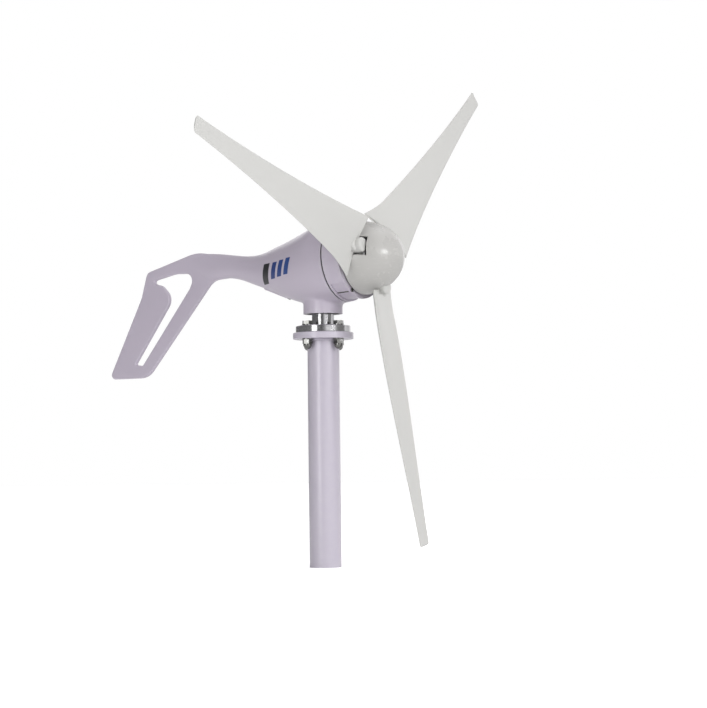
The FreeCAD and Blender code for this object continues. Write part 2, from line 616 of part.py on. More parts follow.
def service_cover(housing):
    """Cover plate let into the sloping belly behind the collar, on a pad inside the shell."""
    pad = rounded_bar("service_pad", "(service_long + 2 * service_rim)",
                      "(service_wide + 2 * service_rim)", "-service_thick - service_floor",
                      "service_thick - service_set", SERVICE)
    recess = rounded_bar("service_recess", "(service_long + 2 * service_gap)",
                         "(service_wide + 2 * service_gap)", "0", "service_reach", SERVICE)
    cover = rounded_bar("service_plate", "service_long", "service_wide", "0", "service_thick", SERVICE)
    screws, bores = [], []
    for k, way in enumerate(("-", "")):
        spot = (SERVICE, at(z=f"{way}service_screw_pitch / 2"), at(turn=90, axis="0; 1; 0"))
        screws.append(fuse(f"service_screw_{k}", [
            rod(f"service_screw_shank_{k}", "service_screw", "-service_thick", "service_thick", *spot),
            rod(f"service_screw_head_{k}", "service_screw * 2", "service_thick",
                "service_thick + service_screw", *spot)]))
        bores.append(rod(f"service_bore_{k}", "service_screw + seat_fit",
                         "-service_thick - service_floor / 2", "service_thick + past", *spot))
    holes = group("service_bores", bores)
    node("service_cover", cut("service_cover", cover, holes))
    node("service_screws", group("service_screws", screws))
    inside = common("service_pad_trim", [pad, doc.getObject("shell_skin")])
    access = block("service_access", ("-service_reach", "service_thick"),
                   ("-service_wide / 2 + service_lip", "service_wide / 2 - service_lip"),
                   ("-service_screw_pitch / 2 + service_lip", "service_screw_pitch / 2 - service_lip"),
                   SERVICE)
    padded = fuse("housing_padded", [housing, inside])
    return cut("housing_carved", padded, group("service_cuts", [recess, access, holes]))


def cover_screw_spots():
    return [(ROTOR, at(turn=a), at(x="cover_screw_circle / 2"))
            for a in ring_of("cover_screw_count", "cover_screw_clock")]


def nacelle():
    housing = service_cover(nacelle_housing())
    screw_tip = "(shell_front - cover_screw_grip)"
    taps = [rod(f"housing_tap_{k}", "cover_screw_radius + seat_fit", f"{screw_tip} - past",
                "shell_front + past", *spot) for k, spot in enumerate(cover_screw_spots())]
    node("nacelle_housing", cut("nacelle_housing", housing, group("housing_taps", taps)))

    node("dust_seal", tube("dust_seal", "yaw_shaft_radius + running_fit", "yaw_bearing_outer - seat_fit",
                           f"{BEARING_1} - circlip_thick - seal_play - seal_thick",
                           f"{BEARING_1} - circlip_thick - seal_play"))
    ring = tube("circlip_ring", "yaw_bearing_outer - circlip_deep",
                "yaw_bearing_outer + circlip_depth - seal_play",
                f"{BEARING_1} - circlip_thick", BEARING_1)
    mouth = block("circlip_mouth", ("0", "yaw_bearing_outer * 2"),
                  ("-circlip_mouth / 2", "circlip_mouth / 2"),
                  (f"{BEARING_1} - 2 * circlip_thick", f"{BEARING_1} + circlip_thick"))
    node("yaw_circlip", cut("yaw_circlip", ring, mouth))

    # Front cover: tapered drum over the stator, closed by a plate with the bearing boss.
    rear = "(shell_front + cover_gap)"
    boss = "(front_bearing_outer + boss_wall)"
    shell = turned("front_cover_blank", [
        ("stator_radius", rear), ("cover_rear_radius", rear), ("cover_front_radius", "cover_front"),
        ("shaft_seal_outer", "cover_front"),
        ("shaft_seal_outer", "front_bearing_start + front_bearing_wide"),
        ("front_bearing_outer", "front_bearing_start + front_bearing_wide"),
        ("front_bearing_outer", "front_bearing_start - boss_lead"),
        (boss, "front_bearing_start - boss_lead"),
        (boss, "cover_front - cover_plate"), ("stator_radius", "cover_front - cover_plate")], ROTOR)
    band = turned("cover_recess", [
        ("cover_front_radius - cover_recess_deep", f"{rear} + cover_recess_lip"),
        ("cover_rear_radius + past", f"{rear} + cover_recess_lip"),
        ("cover_rear_radius + past", "cover_front - cover_recess_lip"),
        ("cover_front_radius - cover_recess_deep", "cover_front - cover_recess_lip")], ROTOR)
    band.Group[-1].setExpression("Angle", ref("cover_recess_span"))
    place(band, ROTOR, at(turn="-cover_recess_span / 2"))
    holes = []
    for k, spot in enumerate(cover_screw_spots()):
        holes.append(rod(f"cover_hole_{k}", "cover_screw_radius + screw_play", f"{rear} - past",
                         "cover_front + past", *spot))
    node("front_cover", cut("front_cover", cut("front_cover_recessed", shell, band),
                            group("cover_holes", holes)))
    screws = []
    for k, spot in enumerate(cover_screw_spots()):
        blank = fuse(f"cover_screw_blank_{k}", [
            rod(f"cover_screw_shank_{k}", "cover_screw_radius", screw_tip, "cover_front", *spot),
            rod(f"cover_screw_head_{k}", "cover_screw_radius * head_share", "cover_front",
                "cover_front + screw_head_tall / 2", *spot)])
        socket = hexagon(f"cover_screw_socket_{k}", "cover_screw_radius * socket_share",
                         "cover_front + socket_floor", "cover_front + screw_head_tall", *spot)
        screws.append(cut(f"cover_screw_{k}", blank, socket))
    node("front_cover_screws", group("front_cover_screws", screws))
    gasket = tube("gasket_blank", "stator_radius + seat_fit", "cover_rear_radius - edge_break",
                  "shell_front", rear, ROTOR)
    holes = [rod(f"gasket_hole_{k}", "cover_screw_radius + screw_play", "shell_front - past",
                 f"{rear} + past", *spot)
             for k, spot in enumerate(cover_screw_spots())]
    node("seam_gasket", cut("seam_gasket", gasket, group("gasket_holes", holes)))
    node("shaft_seal", tube("shaft_seal", "front_bearing_bore + running_fit",
                            "shaft_seal_outer - seat_fit",
                            "front_bearing_start + front_bearing_wide + seal_play",
                            "cover_front - seal_play",
                            ROTOR))

    # Rear end bell: disc behind the stator with the rear bearing's boss.
    bell_front = "(stack_rear - end_turn - bell_gap)"
    bell_rear = f"({bell_front} - bell_thick)"
    hub = "(rear_bearing_outer + boss_wall)"
    disc = turned("rear_end_bell_disc", [
        ("rear_bearing_outer", "rear_bearing_start - boss_lead"),
        (hub, "rear_bearing_start - boss_lead"),
        (hub, bell_rear), ("stator_radius - seat_fit", bell_rear),
        ("stator_radius - seat_fit", bell_front), ("rear_bearing_outer - bearing_lip", bell_front),
        ("rear_bearing_outer - bearing_lip", "rear_bearing_start + rear_bearing_wide"),
        ("rear_bearing_outer", "rear_bearing_start + rear_bearing_wide")], ROTOR)
    relief = rod("rear_end_bell_relief", "collar_radius + edge_break", COLLAR_END,
                 f"{LOCK_TOP} + shaft_tip")
    node("rear_end_bell", cut("rear_end_bell", disc, relief))


# ---------------------------------------------------------------- generator

def stator():
    """Laminated ring with slots open to the bore, and the coils that fill them."""
    ring = tube("stator_ring", "stator_bore", "stator_radius - seat_fit", "stack_rear", "stack_front",
                ROTOR)
    half = "slot_wide / 2"
    near = "(stator_bore + slot_mouth)"
    slots, bars = [], []
    for k, turn in enumerate(ring_of("slot_count")):
        slots.append(block(f"stator_slot_{k}", (near, f"{near} + slot_deep"), (f"-{half}", half),
                           ("stack_rear - past", "stack_front + past"), ROTOR, at(turn=turn)))
        slots.append(block(f"stator_mouth_{k}", ("stator_bore - past", f"{near} + past"),
                           ("-slot_wide / 6", "slot_wide / 6"), ("stack_rear - past", "stack_front + past"),
                           ROTOR, at(turn=turn)))
        bars.append(block(f"coil_bar_{k}", (f"{near} + coil_play + slot_liner",
                                               f"{near} + slot_deep - slot_liner"),
                          (f"-{half} + coil_play", f"{half} - coil_play"),
                          ("stack_rear - end_turn / 2", "stack_front + end_turn / 2"),
                          ROTOR, at(turn=turn)))
    node("stator_core", cut("stator_core", ring, group("stator_slots", slots)))
    coil = (f"{near} + coil_play", f"{near} + slot_deep + end_swell")
    ends = [tube("end_turn_rear", *coil, "stack_rear - end_turn", "stack_rear - coil_play", ROTOR),
            tube("end_turn_front", *coil, "stack_front + coil_play", "stack_front + end_turn", ROTOR)]
    node("stator_windings", fuse("stator_windings", ends + bars))


def magnet_rotor():
    outer = "(stator_bore - air_gap)"
    steel = f"({outer} - magnet_thick)"
    low = "(stack_rear + core_trim)"
    high = "(stack_front - core_trim)"
    node("rotor_core", tube("rotor_core", "shaft_seat_radius + seat_fit", steel, low, high, ROTOR))
    magnets = []
    for k, turn in enumerate(ring_of("magnet_count")):
        arc = tube(f"magnet_arc_{k}", f"{steel} + seat_fit", outer, low, high, ROTOR)
        wedge = new("Part::Cylinder", f"magnet_wedge_{k}", Radius=f"{outer} + past",
                    Height=f"{high} - {low} + 2 * past", Angle="360 / magnet_count - magnet_gap")
        place(wedge, ROTOR, at(z=f"{low} - past", turn=turn))
        magnets.append(common(f"magnet_{k}", [arc, wedge]))
    node("magnets", group("magnets", magnets))


# ---------------------------------------------------------------- rotor: shaft, hub, blades, spinner

NUT_SEAT = "(hub_face + hub_washer_thick)"
SHAFT_TIP = f"({NUT_SEAT} + hub_nut_tall + hub_tip)"
ROOT_TOP = "(hub_face + root_thick)"
CLAMP_TOP = f"({ROOT_TOP} + clamp_thick)"


def rotor_shaft():
    rear_land = "(rear_bearing_start + rear_bearing_wide)"
    shaft = turned("rotor_shaft_blank", [
        ("0", "rear_bearing_start - shaft_stub"),
        ("rear_bearing_bore - edge_break", "rear_bearing_start - shaft_stub"),
        ("rear_bearing_bore", "rear_bearing_start - shaft_stub + edge_break"),
        ("rear_bearing_bore", rear_land),
        ("front_bearing_bore", rear_land), ("front_bearing_bore", "stack_rear"),
        ("shaft_seat_radius", "stack_rear"), ("shaft_seat_radius", "front_bearing_start"),
        ("front_bearing_bore", "front_bearing_start"), ("front_bearing_bore", "hub_rear"),
        ("hub_bore", "hub_rear"), ("hub_bore", "hub_face"), ("hub_thread", "hub_face"),
        ("hub_thread", f"{SHAFT_TIP} - edge_break"), ("hub_thread - edge_break", SHAFT_TIP),
        ("0", SHAFT_TIP)], ROTOR)
    middle = "(hub_rear + hub_face) / 2"
    key_low = "(hub_bore - key_tall / 2)"
    key = (f"{key_low}", f"{key_low} + key_tall")
    side = ("-key_wide / 2", "key_wide / 2")
    along = (f"{middle} - key_long / 2", f"{middle} + key_long / 2")
    play = "seat_fit"
    seat = block("key_seat", (f"{key[0]} - {play}", f"{key[1]} + {play}"),
                 (f"{side[0]} - {play}", f"{side[1]} + {play}"),
                 (f"{along[0]} - {play}", f"{along[1]} + {play}"), ROTOR)
    keyway = block("hub_keyway", (f"{key[0]} - {play}", f"{key[1]} + {play}"),
                   (f"{side[0]} - {play}", f"{side[1]} + {play}"),
                   ("hub_rear - past", "hub_face + past"), ROTOR)
    node("rotor_shaft", cut("rotor_shaft", shaft, seat))
    node("hub_key", block("hub_key", key, side, along, ROTOR))
    return keyway


def blade_frame(turn):
    """Blade frame: X outwards along the blade, Z forward along the rotor axis."""
    return f"{ROTOR} * {at(z='blade_plane', turn=turn)}"


def blade_turns():
    """Turn of each blade's frame, from its clock angle right of straight up."""
    return [f"180 - (blade_clock + {k} * 360 / blade_count)" for k in range(int(val("blade_count")))]


def bolt_spots(turn):
    """Frames of a blade's two bolts."""
    return [(ROTOR, at(turn=turn), at(x=reach, y="root_shift"))
            for reach in ("blade_bolt_in", "blade_bolt_out")]


def hub(keyway):
    hub_blank = turned("hub_blank", [
        ("hub_bore + seat_fit", "hub_rear"), ("hub_boss_radius", "hub_rear"),
        ("hub_boss_radius", "hub_disc_rear"), ("hub_radius", "hub_disc_rear"),
        ("hub_radius", "hub_face"), ("hub_bore + seat_fit", "hub_face")], ROTOR)
    plate_blank = tube("clamp_blank", "clamp_hole", "clamp_radius", ROOT_TOP, CLAMP_TOP, ROTOR)
    holes, plate_holes, bolts, nuts = [], [], [], []
    for k, turn in enumerate(blade_turns()):
        for j, spot in enumerate(bolt_spots(turn)):
            name = f"{k}_{j}"
            bore = "blade_bolt_radius + screw_play"
            holes.append(rod(f"hub_hole_{name}", bore, "hub_disc_rear - past", "hub_face + past", *spot))
            plate_holes.append(rod(f"clamp_hole_{name}", bore, f"{ROOT_TOP} - past",
                                   f"{CLAMP_TOP} + past", *spot))
            bolts.append(fuse(f"blade_bolt_{name}", [
                rod(f"blade_bolt_shank_{name}", "blade_bolt_radius", "hub_disc_rear",
                    f"{CLAMP_TOP} + blade_nut_tall + blade_bolt_tail", *spot),
                hexagon(f"blade_bolt_head_{name}", "blade_bolt_flats",
                        "hub_disc_rear - blade_bolt_head", "hub_disc_rear", *spot)]))
            nuts.append(cut(f"blade_nut_{name}",
                            hexagon(f"blade_nut_hex_{name}", "blade_bolt_flats", CLAMP_TOP,
                                    f"{CLAMP_TOP} + blade_nut_tall", *spot),
                            rod(f"blade_nut_hole_{name}", "blade_bolt_radius + seat_fit",
                                f"{CLAMP_TOP} - past", f"{CLAMP_TOP} + blade_nut_tall + past", *spot)))
    for k, spot in enumerate(spinner_posts()):
        holes.append(rod(f"hub_post_hole_{k}", "spinner_screw_radius + screw_play", "hub_disc_rear - past",
                         "hub_face + past", *spot))
        plate_holes.append(rod(f"clamp_post_hole_{k}", "post_radius + post_play", f"{ROOT_TOP} - past",
                               f"{CLAMP_TOP} + past", *spot))
    node("hub", cut("hub", hub_blank, group("hub_holes", holes + [keyway])))
    node("blade_clamp_plate", cut("blade_clamp_plate", plate_blank, group("clamp_holes", plate_holes)))
    node("blade_bolts", group("blade_bolts", bolts))
    node("blade_nuts", group("blade_nuts", nuts))
    node("hub_washer", tube("hub_washer", "hub_thread + screw_play", "hub_washer_radius", "hub_face",
                            NUT_SEAT, ROTOR))
    nut_top = f"{NUT_SEAT} + hub_nut_tall"
    node("hub_nut", cut("hub_nut", hexagon("hub_nut_hex", "hub_nut_flats", NUT_SEAT, nut_top, ROTOR),
                        rod("hub_nut_hole", "hub_thread + seat_fit", f"{NUT_SEAT} - past",
                            f"{nut_top} + past", ROTOR)))


def foil_ring(reach):
    """Blade section across the blade's length at a distance from the rotor axis.

    The chord shrinks and the twist fades towards the tip by power laws, and near the hub the rear
    edge flares out. The section is a round-nosed foil on an arched mean line, with its nose
    clockwise (frame -Y) and forward (frame +Z).
    """
    share = (val("rotor_radius") - reach) / (val("rotor_radius") - val("root_station"))
    share = max(share, 0)
    chord = val("tip_chord") + val("chord_gain") * share ** val("chord_power")
    twist = math.radians(val("root_twist") * share ** val("twist_power"))
    thick = val("foil_tip") + (val("foil_root") - val("foil_tip")) * min(share, 1)

    near = max(val("flare_reach") - reach, 0) / (val("flare_reach") - val("root_inner"))
    flare = val("root_flare") * near ** 2

    def spot(x, side):
        half = 1.4845 * math.sqrt(x) - 0.63 * x - 1.758 * x ** 2 + 1.4215 * x ** 3 - 0.5180 * x ** 4
        half = (half * thick + val("foil_edge") * x / 2) * chord
        arch = -4 * val("foil_camber") * x * (1 - x) * chord
        along, rise = (x - 0.5) * chord, arch + side * half
        return Vector(reach, along * math.cos(twist) + rise * math.sin(twist) + flare * x,
                      rise * math.cos(twist) - along * math.sin(twist))

    steps = [(1 - math.cos(math.pi * k / 12)) / 2 for k in range(13)]
    front = [spot(x, 1) for x in reversed(steps)]
    rear = [spot(x, -1) for x in steps[1:]]
    foil = Part.BSplineCurve()
    foil.interpolate(front + rear)
    return Part.Wire([foil.toShape(), Part.makeLine(rear[-1], front[0])])


def blade_shape():
    """Lofted blade cut round the spinner; a square root carries the bolts, with a shoulder outside it."""
    outer = val("rotor_radius")
    inner = val("root_inner")
    shares = (0.05, 0.09, 0.13, 0.18, 0.24, 0.32, 0.42, 0.53, 0.64, 0.74, 0.83, 0.9, 0.96, 1.0)
    skin = Part.makeLoft([foil_ring(outer * share) for share in shares], True)
    reach_out = val("rotor_radius")
    deep = -reach_out / 2
    around = Part.makeCylinder(val("spinner_radius + spinner_clearance"), reach_out, Vector(0, 0, deep))
    sweep = val("root_sweep_radius")
    dish = Part.makeCylinder(sweep, reach_out, Vector(val("root_sweep_reach") - sweep, 0, deep))
    skin = skin.cut(around).cut(dish)
    low = val("hub_face") - val("blade_plane")
    wide = val("root_wide")
    root = Part.makeBox(val("root_outer") - inner, wide, val("root_thick"),
                        Vector(inner, val("root_shift") - wide / 2, low))
    root = root.makeFillet(val("root_thick") / 5, [e for e in root.Edges if is_along_x(e)])
    middle = Vector(val("shoulder_middle"), val("root_shift"), low)
    shoulder = Part.makeCylinder(wide / 2, val("shoulder_tall"), middle)
    shoulder = shoulder.makeFillet(val("shoulder_round"), [shoulder.Edges[0]])
    shoulder = shoulder.cut(Part.makeBox(val("shoulder_inner"), reach_out, reach_out,
                                         Vector(0, deep, deep)))
    joined = skin.fuse([root, shoulder])
    for reach in (val("blade_bolt_in"), val("blade_bolt_out")):
        joined = joined.cut(Part.makeCylinder(val("blade_bolt_radius + screw_play"), reach_out,
                                              Vector(reach, val("root_shift"), deep)))
    return joined


def is_along_x(edge):
    ends = [v.Point for v in edge.Vertexes]
    return len(ends) == 2 and abs((ends[1] - ends[0]).normalize().x) > 0.999


def blades():
    shape = blade_shape()
    for k, turn in enumerate(blade_turns()):
        blade = doc.addObject("Part::Feature", f"blade_{k + 1}")
        blade.Shape = shape
        node(f"blade_{k + 1}", place(blade, blade_frame(turn)))


def spinner_posts():
    """Frames of the spinner's screw posts, midway between the blades."""
    return [(ROTOR, at(turn=f"{turn} + 180 / blade_count"), at(x="post_circle / 2"))
            for turn in blade_turns()]


def half_egg(name, radius, long):
    egg = new("Part::Ellipsoid", name, Radius1=long, Radius2=radius, Radius3=radius)
    egg.Angle1 = 0
    return place(egg, ROTOR, at(z="spinner_rear"))


def spinner():
    outer = half_egg("spinner_outside", "spinner_radius", "spinner_long")
    post_trim = half_egg("spinner_post_trim", "spinner_radius - spinner_wall / 2",
                       "spinner_long - spinner_wall / 2")
    inner = half_egg("spinner_inside", "spinner_radius - spinner_wall", "spinner_long - spinner_wall")
    shell = cut("spinner_shell", outer, inner)
    posts = [rod(f"spinner_post_{k}", "post_radius", "hub_face", "spinner_rear + spinner_long", *spot)
             for k, spot in enumerate(spinner_posts())]
    trimmed = common("spinner_posts", [group("post_rods", posts), post_trim])
    tools, screws = [], []
    for k, turn in enumerate(blade_turns()):
        frame = (ROTOR, at(turn=turn))
        tools.append(block(f"spinner_notch_{k}", ("root_inner", "spinner_radius + past"),
                           ("-notch_high", "notch_low"), ("hub_face - past", "notch_front"), *frame))
    for k, spot in enumerate(spinner_posts()):
        tools.append(rod(f"spinner_tap_{k}", "spinner_screw_radius + seat_fit", "hub_face - past",
                         "hub_face + spinner_screw_grip + past", *spot))
        screws.append(fuse(f"spinner_screw_{k}", [
            rod(f"spinner_screw_shank_{k}", "spinner_screw_radius", "hub_disc_rear",
                "hub_face + spinner_screw_grip", *spot),
            rod(f"spinner_screw_head_{k}", "spinner_screw_radius * pan_share",
                "hub_disc_rear - screw_head_tall / 2", "hub_disc_rear", *spot)]))
    node("spinner", cut("spinner", fuse("spinner_blank", [shell, trimmed]),
                        group("spinner_cuts", tools)))
    node("spinner_screws", group("spinner_screws", screws))


# ---------------------------------------------------------------- build, check and write

def check():
    for obj in doc.Objects:
        if "Invalid" in obj.State or "Error" in obj.State:
            raise RuntimeError(f"{obj.Name}: {obj.State}")
    for name, obj in nodes.items():
        if obj.Shape.isNull() or not obj.Shape.isValid() or not obj.Shape.Solids:
            raise RuntimeError(f"{name} has no valid solid")


mast()
slip_rings()
bearings()
nacelle()
stator()
magnet_rotor()
hub(rotor_shaft())
blades()
spinner()
doc.recompute()
check()

os.makedirs("parts", exist_ok=True)
for name, obj in nodes.items():
    obj.Shape.exportStep(f"parts/{name}.step")
    print(name, len(obj.Shape.Solids), round(obj.Shape.Volume))
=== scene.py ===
import json
import math

import bpy
import numpy as np
from mathutils import Matrix, Vector


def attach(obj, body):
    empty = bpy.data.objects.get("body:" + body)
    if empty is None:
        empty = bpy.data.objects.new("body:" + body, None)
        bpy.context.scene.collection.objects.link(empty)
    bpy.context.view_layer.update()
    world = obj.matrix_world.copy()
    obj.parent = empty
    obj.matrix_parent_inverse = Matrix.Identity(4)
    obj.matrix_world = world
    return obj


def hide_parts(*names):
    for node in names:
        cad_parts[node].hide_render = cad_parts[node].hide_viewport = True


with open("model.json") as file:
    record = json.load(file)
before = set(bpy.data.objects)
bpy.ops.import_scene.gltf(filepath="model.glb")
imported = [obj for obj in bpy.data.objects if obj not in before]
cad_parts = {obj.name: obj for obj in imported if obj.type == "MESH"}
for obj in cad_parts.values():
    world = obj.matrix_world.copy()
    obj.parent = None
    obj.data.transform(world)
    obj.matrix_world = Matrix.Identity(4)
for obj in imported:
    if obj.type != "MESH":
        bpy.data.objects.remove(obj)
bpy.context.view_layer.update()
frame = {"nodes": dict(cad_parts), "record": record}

# Small three-blade wind turbine on a flanged pole. Metres, +Z up the pole, +X towards the nose.
MM = 0.001
TILT = math.radians(4)                    # the rotor axis leans back by this much
ROTOR_HEIGHT = 0.569                      # where the rotor axis crosses the yaw axis
FOOT_TO_FLANGE = 0.428                    # length of the bare pole below its flange
POLE_RADIUS = 0.030
WELD_LEG, WELD_SINK, WELD_STEPS, WELD_RING = 0.0042, 0.0006, 720, 14
WELD_RIPPLES, WELD_WAVES = 34, 5
FLOOR_RADIUS, FLOOR_STEPS, FLOOR_GLOW = 14, 96, 0.60

# ---------------------------------------------------------------- meshes


def new_mesh(name, points, faces, smooth=True):
    """Object whose mesh holds these points and faces, in the row frame."""
    mesh = bpy.data.meshes.new(name)
    mesh.from_pydata(points.tolist(), [], faces if isinstance(faces, list) else faces.tolist())
    mesh.polygons.foreach_set("use_smooth", np.full(len(mesh.polygons), smooth))
    mesh.update()
    made = bpy.data.objects.new(name, mesh)
    bpy.context.scene.collection.objects.link(made)
    return made


def grid_faces(rows, columns, close_rows=False):
    """Quads of a grid numbered row by row; the last column always joins the first again."""
    number = np.arange(rows * columns).reshape(rows, columns)
    up = np.roll(number, -1, axis=0) if close_rows else number[1:]
    low = number if close_rows else number[:-1]
    quads = np.stack([low, np.roll(low, -1, axis=1), np.roll(up, -1, axis=1), up], axis=-1)
    return quads.reshape(-1, 4)


def closed_tube(rings):
    """Points and faces through rings[row, step, xyz], joined round, with a fan over each end.

    The volume is summed over all triangles, and the faces are turned round where it is negative.
    """
    rows, steps, _ = rings.shape
    points = np.concatenate([rings.reshape(-1, 3), rings[:1].mean(axis=1), rings[-1:].mean(axis=1)])
    step = np.arange(steps)
    after = (step + 1) % steps
    first, tail = rows * steps, (rows - 1) * steps
    start = np.stack([np.full(steps, first), after, step], axis=-1)
    end = np.stack([np.full(steps, first + 1), tail + step, tail + after], axis=-1)
    fans = np.concatenate([start, end])
    quads = grid_faces(rows, steps)
    faces = quads.tolist() + fans.tolist()
    triangles = np.concatenate([quads[:, [0, 1, 2]], quads[:, [0, 2, 3]], fans])
    p, q, r = points[triangles].transpose(1, 0, 2)
    if np.einsum("ij,ij->", p - points.mean(axis=0), np.cross(q - p, r - p)) < 0:
        faces = [face[::-1] for face in faces]
    return points, faces


def joined(parts):
    """Points and faces of several closed shells together."""
    starts = np.cumsum([0] + [len(points) for points, _ in parts])
    faces = [[v + int(start) for v in face] for start, (_, shell) in zip(starts, parts) for face in shell]
    return np.concatenate([points for points, _ in parts]), faces


def smooth_copy(node, crease, body):
    """Copy of a CAD node with its loose triangles joined, shaded smooth up to the crease angle."""
    source = frame["nodes"][node].data
    co = np.empty(len(source.vertices) * 3)
    source.vertices.foreach_get("co", co)
    tri = np.empty(len(source.loops), int)
    source.loops.foreach_get("vertex_index", tri)
    _, keep, number = np.unique(np.round(co.reshape(-1, 3) * 1e6).astype(np.int64), axis=0,
                                return_index=True, return_inverse=True)
    faces = number.reshape(-1)[tri].reshape(-1, 3)
    whole = (faces[:, 0] != faces[:, 1]) & (faces[:, 1] != faces[:, 2]) & (faces[:, 0] != faces[:, 2])
    made = new_mesh(f"{node}_finish", co.reshape(-1, 3)[keep], faces[whole])
    made.data.set_sharp_from_angle(angle=math.radians(crease))
    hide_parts(node)
    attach(made, body)
    return made


def on_rotor(x, y, z):
    """Row-frame points from rotor coordinates: x down across the axis, y across, z forward along it."""
    down = np.array((math.sin(TILT), 0, -math.cos(TILT)))
    ahead = np.array((math.cos(TILT), 0, math.sin(TILT)))
    centre = np.array((0, 0, ROTOR_HEIGHT))
    return (centre + x[..., None] * down + y[..., None] * np.array((0, 1, 0)) + z[..., None] * ahead)


# ---------------------------------------------------------------- blades

ROTOR_RADIUS = 550
BLADE_PLANE = 119                         # how far the blades' mid plane is along the rotor axis
BLADE_TURNS = [180 - (49.5 + 120 * k) for k in range(3)]
TIP_CHORD, CHORD_GAIN, CHORD_POWER, ROOT_STATION = 32, 72, 1.45, 75
ROOT_TWIST, TWIST_POWER = 17.1, 2.8
FLARE, FLARE_END, FLARE_START = 26, 118, 22
DISH_RADIUS, DISH_REACH = 130, 70         # arc that the root edge follows round the spinner
ROOT_EDGE, ROOT_ROUND = 54, 3.5           # where the root's corner is, and the radius of its edge
TIP_ROUND, TIP_CORNER = 0.9, 5.0          # radius of the tip's edge, and of its corners
FOIL_STEPS = 34
NECK_IN, NECK_OUT, NECK_WIDE, NECK_TALL = 22, 78, 28, 20
BOSS_REACH, BOSS_RADIUS, BOSS_FLAT, BOSS_ROUND, BOSS_LOW, BOSS_HIGH = 59, 14, 53.5, 5, -12, 14.5
NECK_SHIFT, NECK_BACK, NECK_ROUND, NECK_FADE, NECK_SQUARE = 4, -3, 4, 16, 0.62
FOIL_THICK, HUB_THICKER, REAR_THICK, ARCH = 0.085, 0.020, 0.012, 0.035     # shares of the chord
DISH_WIDE, DISH_END = 110, 170            # how far across and outwards the root arc bends the blade
BLADE_ROWS, ROW_POWER, THINNEST, NOSE_FALL = 150, 1.2, 0.02, 22


def foil_half(x):
    """Half thickness of a round-nosed foil for unit thickness: a square root less a cubic."""
    return 1.4845 * np.sqrt(x) - 0.63 * x - 1.758 * x ** 2 + 1.4215 * x ** 3 - 0.518 * x ** 4


def blade_grid(reach, x, side, squeeze):
    """Blade points in the blade's own frame.

    The chord is the tip chord plus a power of the share of the blade still to come, and the twist
    is another power of it. A foil of that chord, a little thicker near the hub, sits on an arched
    mean line. Its rear edge flares near the hub, and the root edge follows an arc. `squeeze`
    thins the section towards nothing, for the rounded ends.
    """
    share = np.clip((ROTOR_RADIUS - reach) / (ROTOR_RADIUS - ROOT_STATION), 0, None)
    chord = TIP_CHORD + CHORD_GAIN * share ** CHORD_POWER
    twist = np.radians(ROOT_TWIST * share ** TWIST_POWER)
    thick = FOIL_THICK + HUB_THICKER * np.minimum(share, 1)
    near = np.clip(FLARE_END - reach, 0, None) / (FLARE_END - FLARE_START)
    half = (foil_half(x) * thick + REAR_THICK * x / 2) * chord * squeeze
    arch = -4 * ARCH * x * (1 - x) * chord
    along = (x - 0.5) * chord
    rise = arch + side * half
    across = along * np.cos(twist) + rise * np.sin(twist) + FLARE * near ** 2 * x
    ahead = rise * np.cos(twist) - along * np.sin(twist)
    bent = np.clip(across, -DISH_WIDE, DISH_WIDE)
    arc = DISH_REACH - DISH_RADIUS + np.sqrt(DISH_RADIUS ** 2 - bent ** 2)
    fade = np.clip((DISH_END - reach) / (DISH_END - ROOT_EDGE), 0, 1) ** 2
    return reach + (arc - ROOT_EDGE) * fade, across, ahead


def blade_skin(turn):
    """Foil surface from the root arc to the tip, both ends closed by a quarter-round edge.

    Rows run outwards. The first and last rows bunch up over the radius of the end, where the
    section thins as the height of a quarter circle, and the chord's corners at the tip are pulled
    in by the fall of a circle. Also gives each point's nearness to the nose.
    """
    bend = np.linspace(0, math.pi / 2, 8)
    inner, outer = ROOT_EDGE + ROOT_ROUND, ROTOR_RADIUS - TIP_ROUND
    body = inner + (outer - inner) * np.linspace(0, 1, BLADE_ROWS)[1:-1] ** ROW_POWER
    last = ROTOR_RADIUS - TIP_CORNER + TIP_CORNER * np.sin(bend)
    body = np.concatenate([body[body < last[0]], last[last < outer]])
    reach = np.concatenate([inner - ROOT_ROUND * np.cos(bend), body, outer + TIP_ROUND * np.sin(bend)])
    squeeze = np.concatenate([np.sin(bend), np.ones(len(body)), np.cos(bend)])
    squeeze = np.maximum(squeeze, THINNEST)
    x = (1 - np.cos(math.pi * np.arange(FOIL_STEPS + 1) / FOIL_STEPS)) / 2
    around = np.concatenate([x[::-1], x[1:]])
    side = np.concatenate([np.ones(FOIL_STEPS + 1), -np.ones(FOIL_STEPS)])
    r, c, s = blade_grid(reach[:, None], around[None, :], side[None, :], squeeze[:, None])
    past = np.clip(reach - (ROTOR_RADIUS - TIP_CORNER), 0, TIP_CORNER)[:, None]
    pull = (TIP_CORNER - np.sqrt(TIP_CORNER ** 2 - past ** 2)) / TIP_CHORD
    c = c * (1 - 2 * pull)
    nose = np.broadcast_to(np.exp(-around * NOSE_FALL), r.shape).reshape(-1)
    return closed_tube(blade_points(r, c, s, turn)), np.concatenate([nose, [0, 0]])


def blade_points(r, c, s, turn):
    """Row-frame points of a blade turned about the rotor axis; r, c, s in millimetres."""
    a = math.radians(turn)
    return on_rotor((r * math.cos(a) - c * math.sin(a)) * MM, (r * math.sin(a) + c * math.cos(a)) * MM,
                    (s + BLADE_PLANE) * MM)


